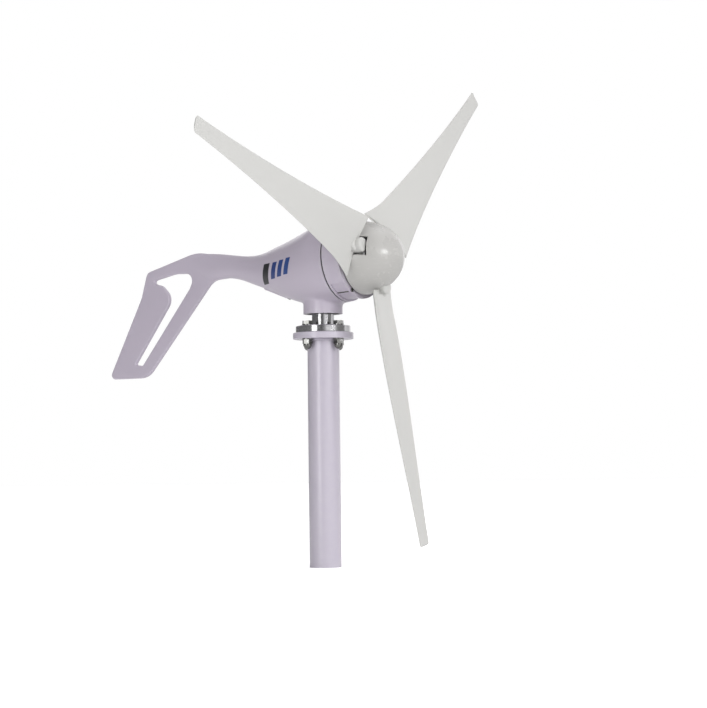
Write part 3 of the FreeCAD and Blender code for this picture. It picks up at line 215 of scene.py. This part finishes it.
def blade_root(turn):
    """Moulded root that carries the bolts: a rounded bar whose section is a superellipse.

    Half width and half thickness are constant along most of the bar and fall away at both ends as
    the height of an ellipse, so that the outer end runs into the blade.
    """
    share = (1 - np.cos(np.linspace(0, math.pi, 60))) / 2
    reach = NECK_IN + (NECK_OUT - NECK_IN) * share
    fall_in = np.sqrt(1 - np.clip(1 - (reach - NECK_IN) / NECK_ROUND, 0, 1) ** 2)
    fall_out = np.sqrt(1 - np.clip(1 - (NECK_OUT - reach) / NECK_FADE, 0, 1) ** 2)
    swing = np.linspace(0, 2 * math.pi, 48, endpoint=False)
    ring_c = np.sign(np.cos(swing)) * np.abs(np.cos(swing)) ** NECK_SQUARE
    ring_s = np.sign(np.sin(swing)) * np.abs(np.sin(swing)) ** NECK_SQUARE
    wide = NECK_WIDE / 2 * (0.4 + 0.6 * fall_out) * fall_in
    tall = NECK_TALL / 2 * fall_out * fall_in
    r = np.repeat(reach[:, None], len(swing), axis=1)
    c = NECK_SHIFT + wide[:, None] * ring_c
    s = NECK_BACK + tall[:, None] * ring_s
    return closed_tube(blade_points(r, c, s, turn))


def blade_boss(turn):
    """Round boss in front of the root, just outside the clamp plate.

    A circle is stacked forwards; its radius flares out by a quarter circle where it meets the
    blade and closes by another over the front edge. The side towards the hub is cut flat.
    """
    bend = np.linspace(0, math.pi / 2, 10)
    rise = np.concatenate([[BOSS_LOW], BOSS_HIGH - BOSS_ROUND + BOSS_ROUND * np.sin(bend)])
    radius = np.concatenate([[BOSS_RADIUS + 1], BOSS_RADIUS - BOSS_ROUND + BOSS_ROUND * np.cos(bend)])
    shrink = np.linspace(1, 0.03, 8)[1:]
    rise = np.concatenate([rise, np.full(len(shrink), BOSS_HIGH)])
    radius = np.concatenate([radius, radius[-1] * shrink])
    swing = np.linspace(0, 2 * math.pi, 64, endpoint=False)
    r = np.maximum(BOSS_REACH + radius[:, None] * np.cos(swing), BOSS_FLAT)
    c = NECK_SHIFT + radius[:, None] * np.sin(swing)
    s = np.repeat(rise[:, None], len(swing), axis=1)
    return closed_tube(blade_points(r, c, s, turn))


blades = []
for number, turn in enumerate(BLADE_TURNS, start=1):
    foil, nose = blade_skin(turn)
    shells = [foil, blade_root(turn), blade_boss(turn)]
    blade = new_mesh(f"blade_skin_{number}", *joined(shells))
    worn = blade.data.attributes.new("nose", "FLOAT", "POINT")
    rest = sum(len(points) for points, _ in shells[1:])
    worn.data.foreach_set("value", np.concatenate([nose, np.zeros(rest)]))
    blade.data.set_sharp_from_angle(angle=math.radians(50))
    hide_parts(f"blade_{number}")
    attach(blade, "rotor")
    blades.append(blade)

# ---------------------------------------------------------------- pole weld


def weld_bead(name):
    """Fillet weld under the pole flange.

    A round profile is carried round the pole; its radius rises and falls in even ripples with a
    slower drift, as overlapping weld pools leave it.
    """
    around = np.linspace(0, 2 * math.pi, WELD_STEPS, endpoint=False)[:, None]
    leg = WELD_LEG * (1 + 0.10 * np.abs(np.sin(around * WELD_RIPPLES)) +
                      0.05 * np.sin(around * WELD_WAVES + 1))
    swing = np.linspace(0, 2 * math.pi, WELD_RING, endpoint=False)[None, :]
    r = POLE_RADIUS + leg / 2 * (1 + np.cos(swing)) - WELD_SINK
    z = FOOT_TO_FLANGE - leg / 2 * (1 + np.sin(swing)) + WELD_SINK
    points = np.stack([r * np.cos(around), r * np.sin(around), z], axis=-1)
    faces = grid_faces(WELD_STEPS, WELD_RING, close_rows=True)
    return new_mesh(name, points.reshape(-1, 3), faces)


weld = weld_bead("pole_weld")
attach(weld, "mast")

# ---------------------------------------------------------------- joined copies of turned and cast parts

COPIES = (
    ("nacelle_housing", 32, "nacelle", "painted_shell"), ("front_cover", 30, "nacelle", "painted_shell"),
    ("service_cover", 30, "nacelle", "painted_shell"), ("seam_gasket", 30, "nacelle", "black_rubber"),
    ("spinner", 32, "rotor", "spinner_plastic"), ("pole", 30, "mast", "pole_paint"),
    ("pole_flange", 30, "mast", "pole_paint"), ("yaw_shaft", 30, "mast", "turned_aluminium"),
    ("flange_bolts", 30, "mast", "zinc_steel"), ("flange_nuts", 30, "mast", "zinc_steel"),
    ("flange_washers", 30, "mast", "zinc_steel"), ("hub", 30, "rotor", "cast_aluminium"),
    ("blade_clamp_plate", 30, "rotor", "cast_aluminium"), ("hub_nut", 30, "rotor", "zinc_steel"),
    ("rotor_shaft", 30, "rotor", "shaft_steel"), ("blade_nuts", 30, "rotor", "zinc_steel"),
    ("blade_bolts", 30, "rotor", "zinc_steel"), ("front_cover_screws", 30, "nacelle", "zinc_steel"),
    ("service_screws", 30, "nacelle", "zinc_steel"), ("dust_seal", 30, "nacelle", "black_rubber"),
    ("shaft_seal", 30, "nacelle", "black_rubber"),
)
copies = {node: smooth_copy(node, crease, body) for node, crease, body, slot in COPIES}

# ---------------------------------------------------------------- shader groups


def add(tree, kind, inputs=None, **settings):
    """A shader node with its settings, its inputs linked from sockets or set to values."""
    made = tree.nodes.new(kind)
    for key, value in settings.items():
        setattr(made, key, value)
    for key, value in (inputs or {}).items():
        if isinstance(value, bpy.types.NodeSocket):
            tree.links.new(value, made.inputs[key])
        else:
            made.inputs[key].default_value = value
    return made


def math_of(tree, operation, *values, clamp=False):
    """Result of one Math node on sockets or values."""
    return add(tree, "ShaderNodeMath", dict(enumerate(values)), operation=operation,
               use_clamp=clamp).outputs[0]


def ranged(tree, value, low, high, to_low=0.0, to_high=1.0):
    """Value carried from one range into another and held inside it."""
    return add(tree, "ShaderNodeMapRange", {"Value": value, "From Min": low, "From Max": high,
                                            "To Min": to_low, "To Max": to_high}).outputs[0]


def noise(tree, vector, scale, detail=3.0, rough=0.5):
    return add(tree, "ShaderNodeTexNoise", {"Vector": vector, "Scale": scale, "Detail": detail,
                                            "Roughness": rough}).outputs["Fac"]


def blend_colour(tree, share, first, second):
    return add(tree, "ShaderNodeMix", {0: share, 6: first, 7: second}, data_type="RGBA").outputs[2]


def group(name, inputs, outputs, build):
    """Shader node group with named inputs (name, kind, value) and outputs (name, kind)."""
    tree = bpy.data.node_groups.new(name, "ShaderNodeTree")
    for label, kind, value in inputs:
        made = tree.interface.new_socket(name=label, in_out="INPUT", socket_type=f"NodeSocket{kind}")
        if value is not None:
            made.default_value = value
    for label, kind in outputs:
        tree.interface.new_socket(name=label, in_out="OUTPUT", socket_type=f"NodeSocket{kind}")
    into = tree.nodes.new("NodeGroupInput")
    results = build(tree, into.outputs)
    out = tree.nodes.new("NodeGroupOutput")
    for label, socket in results.items():
        tree.links.new(socket, out.inputs[label])
    return tree


WHITE = (1, 1, 1, 1)
DUST_COLOUR = (0.62, 0.60, 0.56, 1)


def build_tone(tree, given):
    """Slow drift of a colour between a darker and a lighter tone, with fine specks in it."""
    wide = noise(tree, given["Vector"], given["Scale"], 4.0, 0.55)
    fine = noise(tree, given["Vector"], math_of(tree, "MULTIPLY", given["Scale"], 22.0), 2.0)
    share = math_of(tree, "ADD", math_of(tree, "MULTIPLY", wide, 0.7), math_of(tree, "MULTIPLY", fine, 0.3))
    shift = math_of(tree, "MULTIPLY", math_of(tree, "SUBTRACT", share, 0.5), given["Amount"])
    made = add(tree, "ShaderNodeHueSaturation", {"Color": given["Color"],
                                                 "Value": math_of(tree, "ADD", shift, 1.0)})
    return {"Color": made.outputs[0]}


def build_wear(tree, given):
    """Convex edges show the worn colour where a patchy noise lets them."""
    sharp = add(tree, "ShaderNodeNewGeometry").outputs["Pointiness"]
    edge = ranged(tree, sharp, 0.52, 0.60)
    patch = ranged(tree, noise(tree, given["Vector"], 90.0, 4.0, 0.6), 0.42, 0.62)
    mask = math_of(tree, "MULTIPLY", math_of(tree, "MULTIPLY", edge, patch), given["Amount"], clamp=True)
    return {"Color": blend_colour(tree, mask, given["Color"], given["Worn"])}


def build_dust(tree, given):
    """Pale film that settles on faces that look upwards, thicker in slow patches."""
    normal = add(tree, "ShaderNodeNewGeometry").outputs["Normal"]
    up = add(tree, "ShaderNodeSeparateXYZ", {0: normal}).outputs["Z"]
    lie = ranged(tree, up, 0.35, 1.0)
    patch = ranged(tree, noise(tree, given["Vector"], 14.0, 5.0, 0.6), 0.35, 0.7)
    mask = math_of(tree, "MULTIPLY", math_of(tree, "MULTIPLY", lie, patch), given["Amount"], clamp=True)
    return {"Color": blend_colour(tree, mask, given["Color"], DUST_COLOUR)}


def build_gloss(tree, given):
    """Roughness that wanders round a mean, with finger smears and fine scratches."""
    smear = noise(tree, given["Vector"], 9.0, 5.0, 0.65)
    stretch = add(tree, "ShaderNodeMapping", {"Vector": given["Vector"], "Scale": (30, 30, 400)}).outputs[0]
    scratch = ranged(tree, noise(tree, stretch, 3.0, 2.0), 0.62, 0.72)
    change = math_of(tree, "ADD", math_of(tree, "SUBTRACT", smear, 0.5),
                     math_of(tree, "MULTIPLY", scratch, 0.25))
    shift = math_of(tree, "MULTIPLY", change, given["Amount"])
    return {"Roughness": math_of(tree, "ADD", given["Mean"], shift, clamp=True)}


def build_peel(tree, given):
    """Height of sprayed paint: soft cells with a finer grain on top."""
    cells = add(tree, "ShaderNodeTexVoronoi", {"Vector": given["Vector"], "Scale": given["Scale"]},
                feature="SMOOTH_F1").outputs["Distance"]
    grain = noise(tree, given["Vector"], math_of(tree, "MULTIPLY", given["Scale"], 3.0), 2.0)
    return {"Height": math_of(tree, "ADD", cells, math_of(tree, "MULTIPLY", grain, 0.35))}


def build_turning(tree, given):
    """Fine tool marks of a lathe about the vertical axis: rings on flats, lines round cylinders."""
    parts = add(tree, "ShaderNodeSeparateXYZ", {0: given["Vector"]}).outputs
    reach = math_of(tree, "SQRT", math_of(tree, "ADD", math_of(tree, "MULTIPLY", parts["X"], parts["X"]),
                                          math_of(tree, "MULTIPLY", parts["Y"], parts["Y"])))
    path = math_of(tree, "ADD", reach, parts["Z"])
    wobble = noise(tree, given["Vector"], 60.0, 2.0)
    phase = math_of(tree, "ADD", math_of(tree, "MULTIPLY", path, given["Pitch"]),
                    math_of(tree, "MULTIPLY", wobble, 2.5))
    lines = math_of(tree, "SINE", phase)
    line_noise = add(tree, "ShaderNodeCombineXYZ", {0: math_of(tree, "MULTIPLY", path, 900.0)}).outputs[0]
    uneven = noise(tree, line_noise, 1.0, 2.0)
    return {"Height": math_of(tree, "ADD", math_of(tree, "MULTIPLY", lines, 0.35), uneven)}


def build_stripe(tree, given):
    """Soft-edged slanted bar on the shell's side between two places along it and two heights."""
    parts = add(tree, "ShaderNodeSeparateXYZ", {0: given["Vector"]}).outputs
    lean = math_of(tree, "SUBTRACT", parts["X"], math_of(tree, "MULTIPLY", parts["Z"], given["Slant"]))
    rise = math_of(tree, "SUBTRACT", parts["Z"], math_of(tree, "MULTIPLY", parts["X"], given["Climb"]))
    soft = 0.0004

    def between(value, centre, half):
        away = math_of(tree, "ABSOLUTE", math_of(tree, "SUBTRACT", value, centre))
        low = math_of(tree, "SUBTRACT", half, soft)
        return math_of(tree, "SUBTRACT", 1.0, ranged(tree, away, low, half))

    inside = math_of(tree, "MULTIPLY", between(lean, given["Along"], given["Half Long"]),
                     between(rise, given["Height"], given["Half Tall"]))
    return {"Mask": inside}


V, C, F = ("Vector", "Vector", None), "Color", "Float"
TONE = group("tone_drift", [V, ("Color", C, WHITE), ("Scale", F, 6.0), ("Amount", F, 0.08)],
             [("Color", C)], build_tone)
WEAR = group("edge_wear", [V, ("Color", C, WHITE), ("Worn", C, WHITE), ("Amount", F, 0.5)],
             [("Color", C)], build_wear)
DUST = group("settled_dust", [V, ("Color", C, WHITE), ("Amount", F, 0.2)], [("Color", C)], build_dust)
GLOSS = group("gloss_drift", [V, ("Mean", F, 0.4), ("Amount", F, 0.1)], [("Roughness", F)], build_gloss)
PEEL = group("paint_peel", [V, ("Scale", F, 400.0)], [("Height", F)], build_peel)
TURNING = group("lathe_marks", [V, ("Pitch", F, 6000.0)], [("Height", F)], build_turning)
STRIPE = group("side_stripe", [V, ("Along", F, 0.0), ("Half Long", F, 0.02), ("Height", F, 0.56),
                               ("Half Tall", F, 0.01), ("Slant", F, 0.3), ("Climb", F, 0.0)],
               [("Mask", F)], build_stripe)


def use(tree, shared, **inputs):
    """One of the shared groups placed in a material; spaces in input names are written as _."""
    made = tree.nodes.new("ShaderNodeGroup")
    made.node_tree = shared
    for key, value in inputs.items():
        socket = made.inputs[key.replace("_", " ")]
        if isinstance(value, bpy.types.NodeSocket):
            tree.links.new(value, socket)
        else:
            socket.default_value = value
    return made.outputs


# ---------------------------------------------------------------- materials


def srgb(*values):
    """Linear colour from display values of 0 to 255."""
    shares = [v / 255 for v in values]
    return tuple(s / 12.92 if s <= 0.04045 else ((s + 0.055) / 1.055) ** 2.4 for s in shares) + (1,)


def material(name, colour, worn, rough, metal=0.0, tone=0.08, tone_scale=6.0, wear=0.4, dust=0.15,
             gloss=0.12, peel=400.0, bump=0.05, depth=0.00006, coat=0.0, turning=0.0, extra=None):
    """Finish with colour drift, worn edges, dust, wandering gloss and a fine bump."""
    made = bpy.data.materials.new(name)
    made.use_nodes = True
    tree = made.node_tree
    shader = tree.nodes["Principled BSDF"]
    vector = add(tree, "ShaderNodeTexCoord").outputs["Object"]
    drift = use(tree, TONE, Vector=vector, Color=colour, Scale=tone_scale, Amount=tone)
    shade = extra(tree, vector, drift["Color"]) if extra else drift["Color"]
    worn_in = use(tree, WEAR, Vector=vector, Color=shade, Worn=worn, Amount=wear)
    dusty = use(tree, DUST, Vector=vector, Color=worn_in["Color"], Amount=dust)
    tree.links.new(dusty["Color"], shader.inputs["Base Color"])
    sheen = use(tree, GLOSS, Vector=vector, Mean=rough, Amount=gloss)
    tree.links.new(sheen["Roughness"], shader.inputs["Roughness"])
    shader.inputs["Metallic"].default_value = metal
    shader.inputs["Coat Weight"].default_value = coat
    shader.inputs["Coat Roughness"].default_value = 0.25
    if turning:
        height = use(tree, TURNING, Vector=vector, Pitch=turning)["Height"]
    else:
        height = use(tree, PEEL, Vector=vector, Scale=peel)["Height"]
    relief = add(tree, "ShaderNodeBump", {"Height": height, "Strength": bump, "Distance": depth})
    tree.links.new(relief.outputs[0], shader.inputs["Normal"])
    return made


# how the bars slant and climb, and the height and the way back at which their places are given
STRIPE_SLANT, STRIPE_CLIMB, STRIPE_LEVEL, STRIPE_BACK = 0.25, 0.06, 0.565, 0.07


def shell_stripes(tree, vector, colour):
    """Stripe set on the shell's sides: one dark bar, then three blue ones.

    Each row is place along, half length, height, half height and ink.
    """
    marks = ((-0.1010, 0.0090, 0.5570, 0.0190, (0.012, 0.012, 0.016, 1)),
             (-0.0770, 0.0065, 0.5600, 0.0155, (0.012, 0.040, 0.190, 1)),
             (-0.0580, 0.0065, 0.5615, 0.0155, (0.014, 0.048, 0.210, 1)),
             (-0.0390, 0.0065, 0.5630, 0.0155, (0.016, 0.056, 0.230, 1)))
    for along, half_long, height, half_tall, ink in marks:
        mask = use(tree, STRIPE, Vector=vector, Along=along - STRIPE_SLANT * STRIPE_LEVEL,
                   Half_Long=half_long, Height=height + STRIPE_CLIMB * STRIPE_BACK, Half_Tall=half_tall,
                   Slant=STRIPE_SLANT, Climb=STRIPE_CLIMB)["Mask"]
        colour = blend_colour(tree, mask, colour, ink)
    return colour


def nose_wear(tree, vector, colour):
    """Blade colour, slightly greyer and speckled along the nose where rain and grit wear it."""
    nose = add(tree, "ShaderNodeAttribute", attribute_name="nose").outputs["Fac"]
    specks = ranged(tree, noise(tree, vector, 260.0, 4.0, 0.7), 0.48, 0.70)
    mask = math_of(tree, "MULTIPLY", math_of(tree, "MULTIPLY", nose, specks), 0.45, clamp=True)
    flow = ranged(tree, noise(tree, vector, 16.8, 6.0, 0.6), 0.3, 0.75, 0.0, 0.06)
    flowed = blend_colour(tree, flow, colour, srgb(188, 190, 186))
    return blend_colour(tree, mask, flowed, srgb(150, 148, 142))


STEEL = (0.55, 0.55, 0.56, 1)
FINISHES = {
    "painted_shell": material("shell_paint", srgb(190, 182, 196), srgb(205, 203, 205), 0.36, tone=0.03,
                              wear=0.30, dust=0.05, peel=520.0, bump=0.06, coat=0.25,
                              extra=shell_stripes),
    "pole_paint": material("pole_paint", srgb(193, 187, 200), srgb(205, 203, 205), 0.30, tone=0.02,
                           wear=0.12, dust=0.08, gloss=0.05, peel=480.0, bump=0.04, coat=0.4),
    "blade_plastic": material("blade_nylon", srgb(200, 200, 197), srgb(200, 199, 194), 0.40, tone=0.035,
                              wear=0.05, dust=0.04, peel=450.0, bump=0.02, extra=nose_wear),
    "spinner_plastic": material("spinner_plastic", srgb(180, 179, 176), srgb(224, 223, 220), 0.27,
                                tone=0.02, wear=0.03, dust=0.02, gloss=0.05, peel=700.0, bump=0.03,
                                coat=0.35),
    "turned_aluminium": material("turned_aluminium", (0.47, 0.47, 0.48, 1), (0.9, 0.9, 0.9, 1), 0.17, 1.0,
                                 tone=0.10, tone_scale=30.0, wear=0.3, dust=0.06, gloss=0.2,
                                 turning=9000.0, bump=0.12, depth=0.00005),
    "cast_aluminium": material("cast_aluminium", (0.50, 0.50, 0.51, 1), (0.7, 0.7, 0.7, 1), 0.48, 1.0,
                               tone=0.2, tone_scale=25.0, dust=0.1, peel=900.0, bump=0.25),
    "zinc_steel": material("zinc_steel", (0.20, 0.20, 0.19, 1), (0.55, 0.55, 0.56, 1), 0.22, 1.0, tone=0.35,
                           tone_scale=60.0, wear=0.4, dust=0.03, gloss=0.25, peel=1500.0, bump=0.12),
    "bearing_steel": material("bearing_steel", (0.62, 0.62, 0.63, 1), (0.8, 0.8, 0.8, 1), 0.14, 1.0,
                              tone=0.06, wear=0.2, dust=0.0, turning=14000.0, bump=0.06, depth=0.00003),
    "shaft_steel": material("shaft_steel", STEEL, (0.75, 0.75, 0.75, 1), 0.25, 1.0, tone=0.1, wear=0.3,
                            dust=0.0, turning=11000.0, bump=0.08, depth=0.00004),
    "black_rubber": material("black_rubber", (0.018, 0.018, 0.019, 1), (0.06, 0.06, 0.06, 1), 0.72,
                             tone=0.3, tone_scale=40.0, dust=0.2, peel=2200.0, bump=0.3),
    "black_plastic": material("black_plastic", (0.028, 0.028, 0.031, 1), (0.08, 0.08, 0.08, 1), 0.45,
                              tone=0.2, tone_scale=40.0, dust=0.1, peel=1800.0, bump=0.25),
    "copper": material("copper", (0.72, 0.34, 0.19, 1), (0.9, 0.55, 0.4, 1), 0.22, 1.0, tone=0.2,
                       tone_scale=50.0, dust=0.0, turning=12000.0, bump=0.08, depth=0.00004),
    "enamelled_copper": material("enamelled_copper", (0.45, 0.16, 0.06, 1), (0.7, 0.35, 0.18, 1), 0.3,
                                 0.6, tone=0.35, tone_scale=90.0, dust=0.0, peel=1300.0, bump=0.6,
                                 coat=0.5),
    "carbon": material("carbon", (0.035, 0.035, 0.038, 1), (0.09, 0.09, 0.09, 1), 0.55, tone=0.3,
                       tone_scale=80.0, dust=0.0, peel=2600.0, bump=0.3),
    "laminations": material("laminations", (0.16, 0.16, 0.18, 1), (0.4, 0.4, 0.4, 1), 0.42, 0.9, tone=0.3,
                            tone_scale=60.0, dust=0.0, turning=12500.0, bump=0.35, depth=0.0001),
    "magnet": material("magnet_plating", (0.66, 0.66, 0.67, 1), (0.8, 0.8, 0.8, 1), 0.2, 1.0, tone=0.08,
                       dust=0.0, peel=1500.0, bump=0.08),
    "spring_steel": material("spring_steel", (0.42, 0.42, 0.44, 1), (0.7, 0.7, 0.7, 1), 0.3, 1.0, tone=0.2,
                             tone_scale=80.0, dust=0.0, peel=1800.0, bump=0.1),
}


def coat_with(piece, finish):
    piece.data.materials.clear()
    piece.data.materials.append(finish)


for subpart in frame["record"]["subparts"]:
    coat_with(frame["nodes"][subpart["node"]], FINISHES[subpart["material_slot"]])
for node, _, _, slot in COPIES:
    coat_with(copies[node], FINISHES[slot])
for blade in blades:
    coat_with(blade, FINISHES["blade_plastic"])
coat_with(weld, FINISHES["pole_paint"])

# ---------------------------------------------------------------- floor, light and camera


def floor():
    """Pale round floor with a soft matt surface that also glows a little where it is seen."""
    around = np.linspace(0, 2 * math.pi, FLOOR_STEPS, endpoint=False)
    points = np.stack([FLOOR_RADIUS * np.cos(around), FLOOR_RADIUS * np.sin(around), 0 * around], axis=-1)
    made = new_mesh("studio_floor", points, [list(range(FLOOR_STEPS))], smooth=False)
    paper = bpy.data.materials.new("floor_paper")
    paper.use_nodes = True
    tree = paper.node_tree
    shader = tree.nodes["Principled BSDF"]
    shader.inputs["Base Color"].default_value = (0.93, 0.93, 0.93, 1)
    shader.inputs["Roughness"].default_value = 0.9
    shader.inputs["Emission Color"].default_value = (1, 1, 1, 1)
    direct = add(tree, "ShaderNodeLightPath").outputs["Is Camera Ray"]
    tree.links.new(math_of(tree, "MULTIPLY", direct, FLOOR_GLOW), shader.inputs["Emission Strength"])
    coat_with(made, paper)


def soft_light(name, place, aim, size, power, tall=None, mirrored=True):
    """Rectangular lamp aimed at a point; one that isn't mirrored stays out of reflections."""
    lamp = bpy.data.lights.new(name, "AREA")
    lamp.shape = "RECTANGLE"
    lamp.size = size
    lamp.size_y = tall or size
    lamp.energy = power
    made = bpy.data.objects.new(name, lamp)
    bpy.context.scene.collection.objects.link(made)
    made.location = place
    made.rotation_euler = (Vector(aim) - Vector(place)).to_track_quat("-Z", "Y").to_euler()
    made.visible_glossy = mirrored


CAMERA_PLACE = Vector((2.21786, -3.19901, 0.20030))
CAMERA_TURN, CAMERA_RISE, CAMERA_ROLL = (math.radians(v) for v in (33.90, -2.93, -0.65))
SENSOR_WIDTH = 36
LENS_SHARE = 2068.98 / 708                # focal length as a share of the sensor's width


def camera():
    """Camera at its place, turned about the vertical, raised and rolled by the three angles."""
    back = Vector((math.sin(CAMERA_TURN) * math.cos(CAMERA_RISE),
                   -math.cos(CAMERA_TURN) * math.cos(CAMERA_RISE), math.sin(CAMERA_RISE)))
    level = (-back).cross(Vector((0, 0, 1))).normalized()
    plumb = level.cross(-back)
    right = level * math.cos(CAMERA_ROLL) + plumb * math.sin(CAMERA_ROLL)
    up = plumb * math.cos(CAMERA_ROLL) - level * math.sin(CAMERA_ROLL)
    lens = bpy.data.cameras.new("camera")
    lens.sensor_width = SENSOR_WIDTH
    lens.lens = LENS_SHARE * SENSOR_WIDTH
    lens.clip_end = 100
    made = bpy.data.objects.new("camera", lens)
    bpy.context.scene.collection.objects.link(made)
    turned = Matrix((right, up, back)).transposed().to_4x4()
    made.matrix_world = Matrix.Translation(CAMERA_PLACE) @ turned
    bpy.context.scene.camera = made


def studio():
    """Plain white surroundings that cast less light than they show, much dimmer on the left."""
    world = bpy.data.worlds.new("studio")
    bpy.context.scene.world = world
    world.use_nodes = True
    tree = world.node_tree
    way = add(tree, "ShaderNodeTexCoord").outputs["Generated"]
    parts = add(tree, "ShaderNodeSeparateXYZ", {0: way}).outputs
    side = math_of(tree, "ADD", math_of(tree, "MULTIPLY", parts["X"], math.cos(CAMERA_TURN)),
                   math_of(tree, "MULTIPLY", parts["Y"], math.sin(CAMERA_TURN)))
    bands = math_of(tree, "SINE", math_of(tree, "ADD", math_of(tree, "MULTIPLY", side, 9.0), -1.8))
    glow = math_of(tree, "MULTIPLY", ranged(tree, side, -0.05, 0.25, 0.20, 1.05),
                   ranged(tree, bands, -0.5, 0.4, 0.75, 1.1))
    high = ranged(tree, parts["Z"], -0.4, 0.9, 0.9, 1.1)
    cast = add(tree, "ShaderNodeBackground", {"Color": (1, 0.99, 1, 1),
                                              "Strength": math_of(tree, "MULTIPLY", glow, high)})
    seen = add(tree, "ShaderNodeBackground", {"Color": (1, 1, 1, 1), "Strength": 1.0})
    direct = add(tree, "ShaderNodeLightPath").outputs["Is Camera Ray"]
    mixed = add(tree, "ShaderNodeMixShader", {0: direct, 1: cast.outputs[0], 2: seen.outputs[0]})
    tree.links.new(mixed.outputs[0], tree.nodes["World Output"].inputs[0])


camera()
floor()
studio()
MIDDLE = (0, 0, 0.5)
soft_light("key", (3.3, -0.75, 1.25), MIDDLE, 1.15, 30, 0.6)
soft_light("fill", (-0.2, -4.2, 1.2), MIDDLE, 1.3, 54, 2.8)
soft_light("top", (0.2, 0.2, 3.4), MIDDLE, 2.4, 12)
soft_light("low", (1.7, -1.9, 0.06), (0, 0, 0.55), 1.2, 5, 0.5, mirrored=False)
soft_light("rim", (-2.6, 2.2, 1.6), MIDDLE, 1.8, 14)
bpy.context.scene.view_settings.view_transform = "Standard"
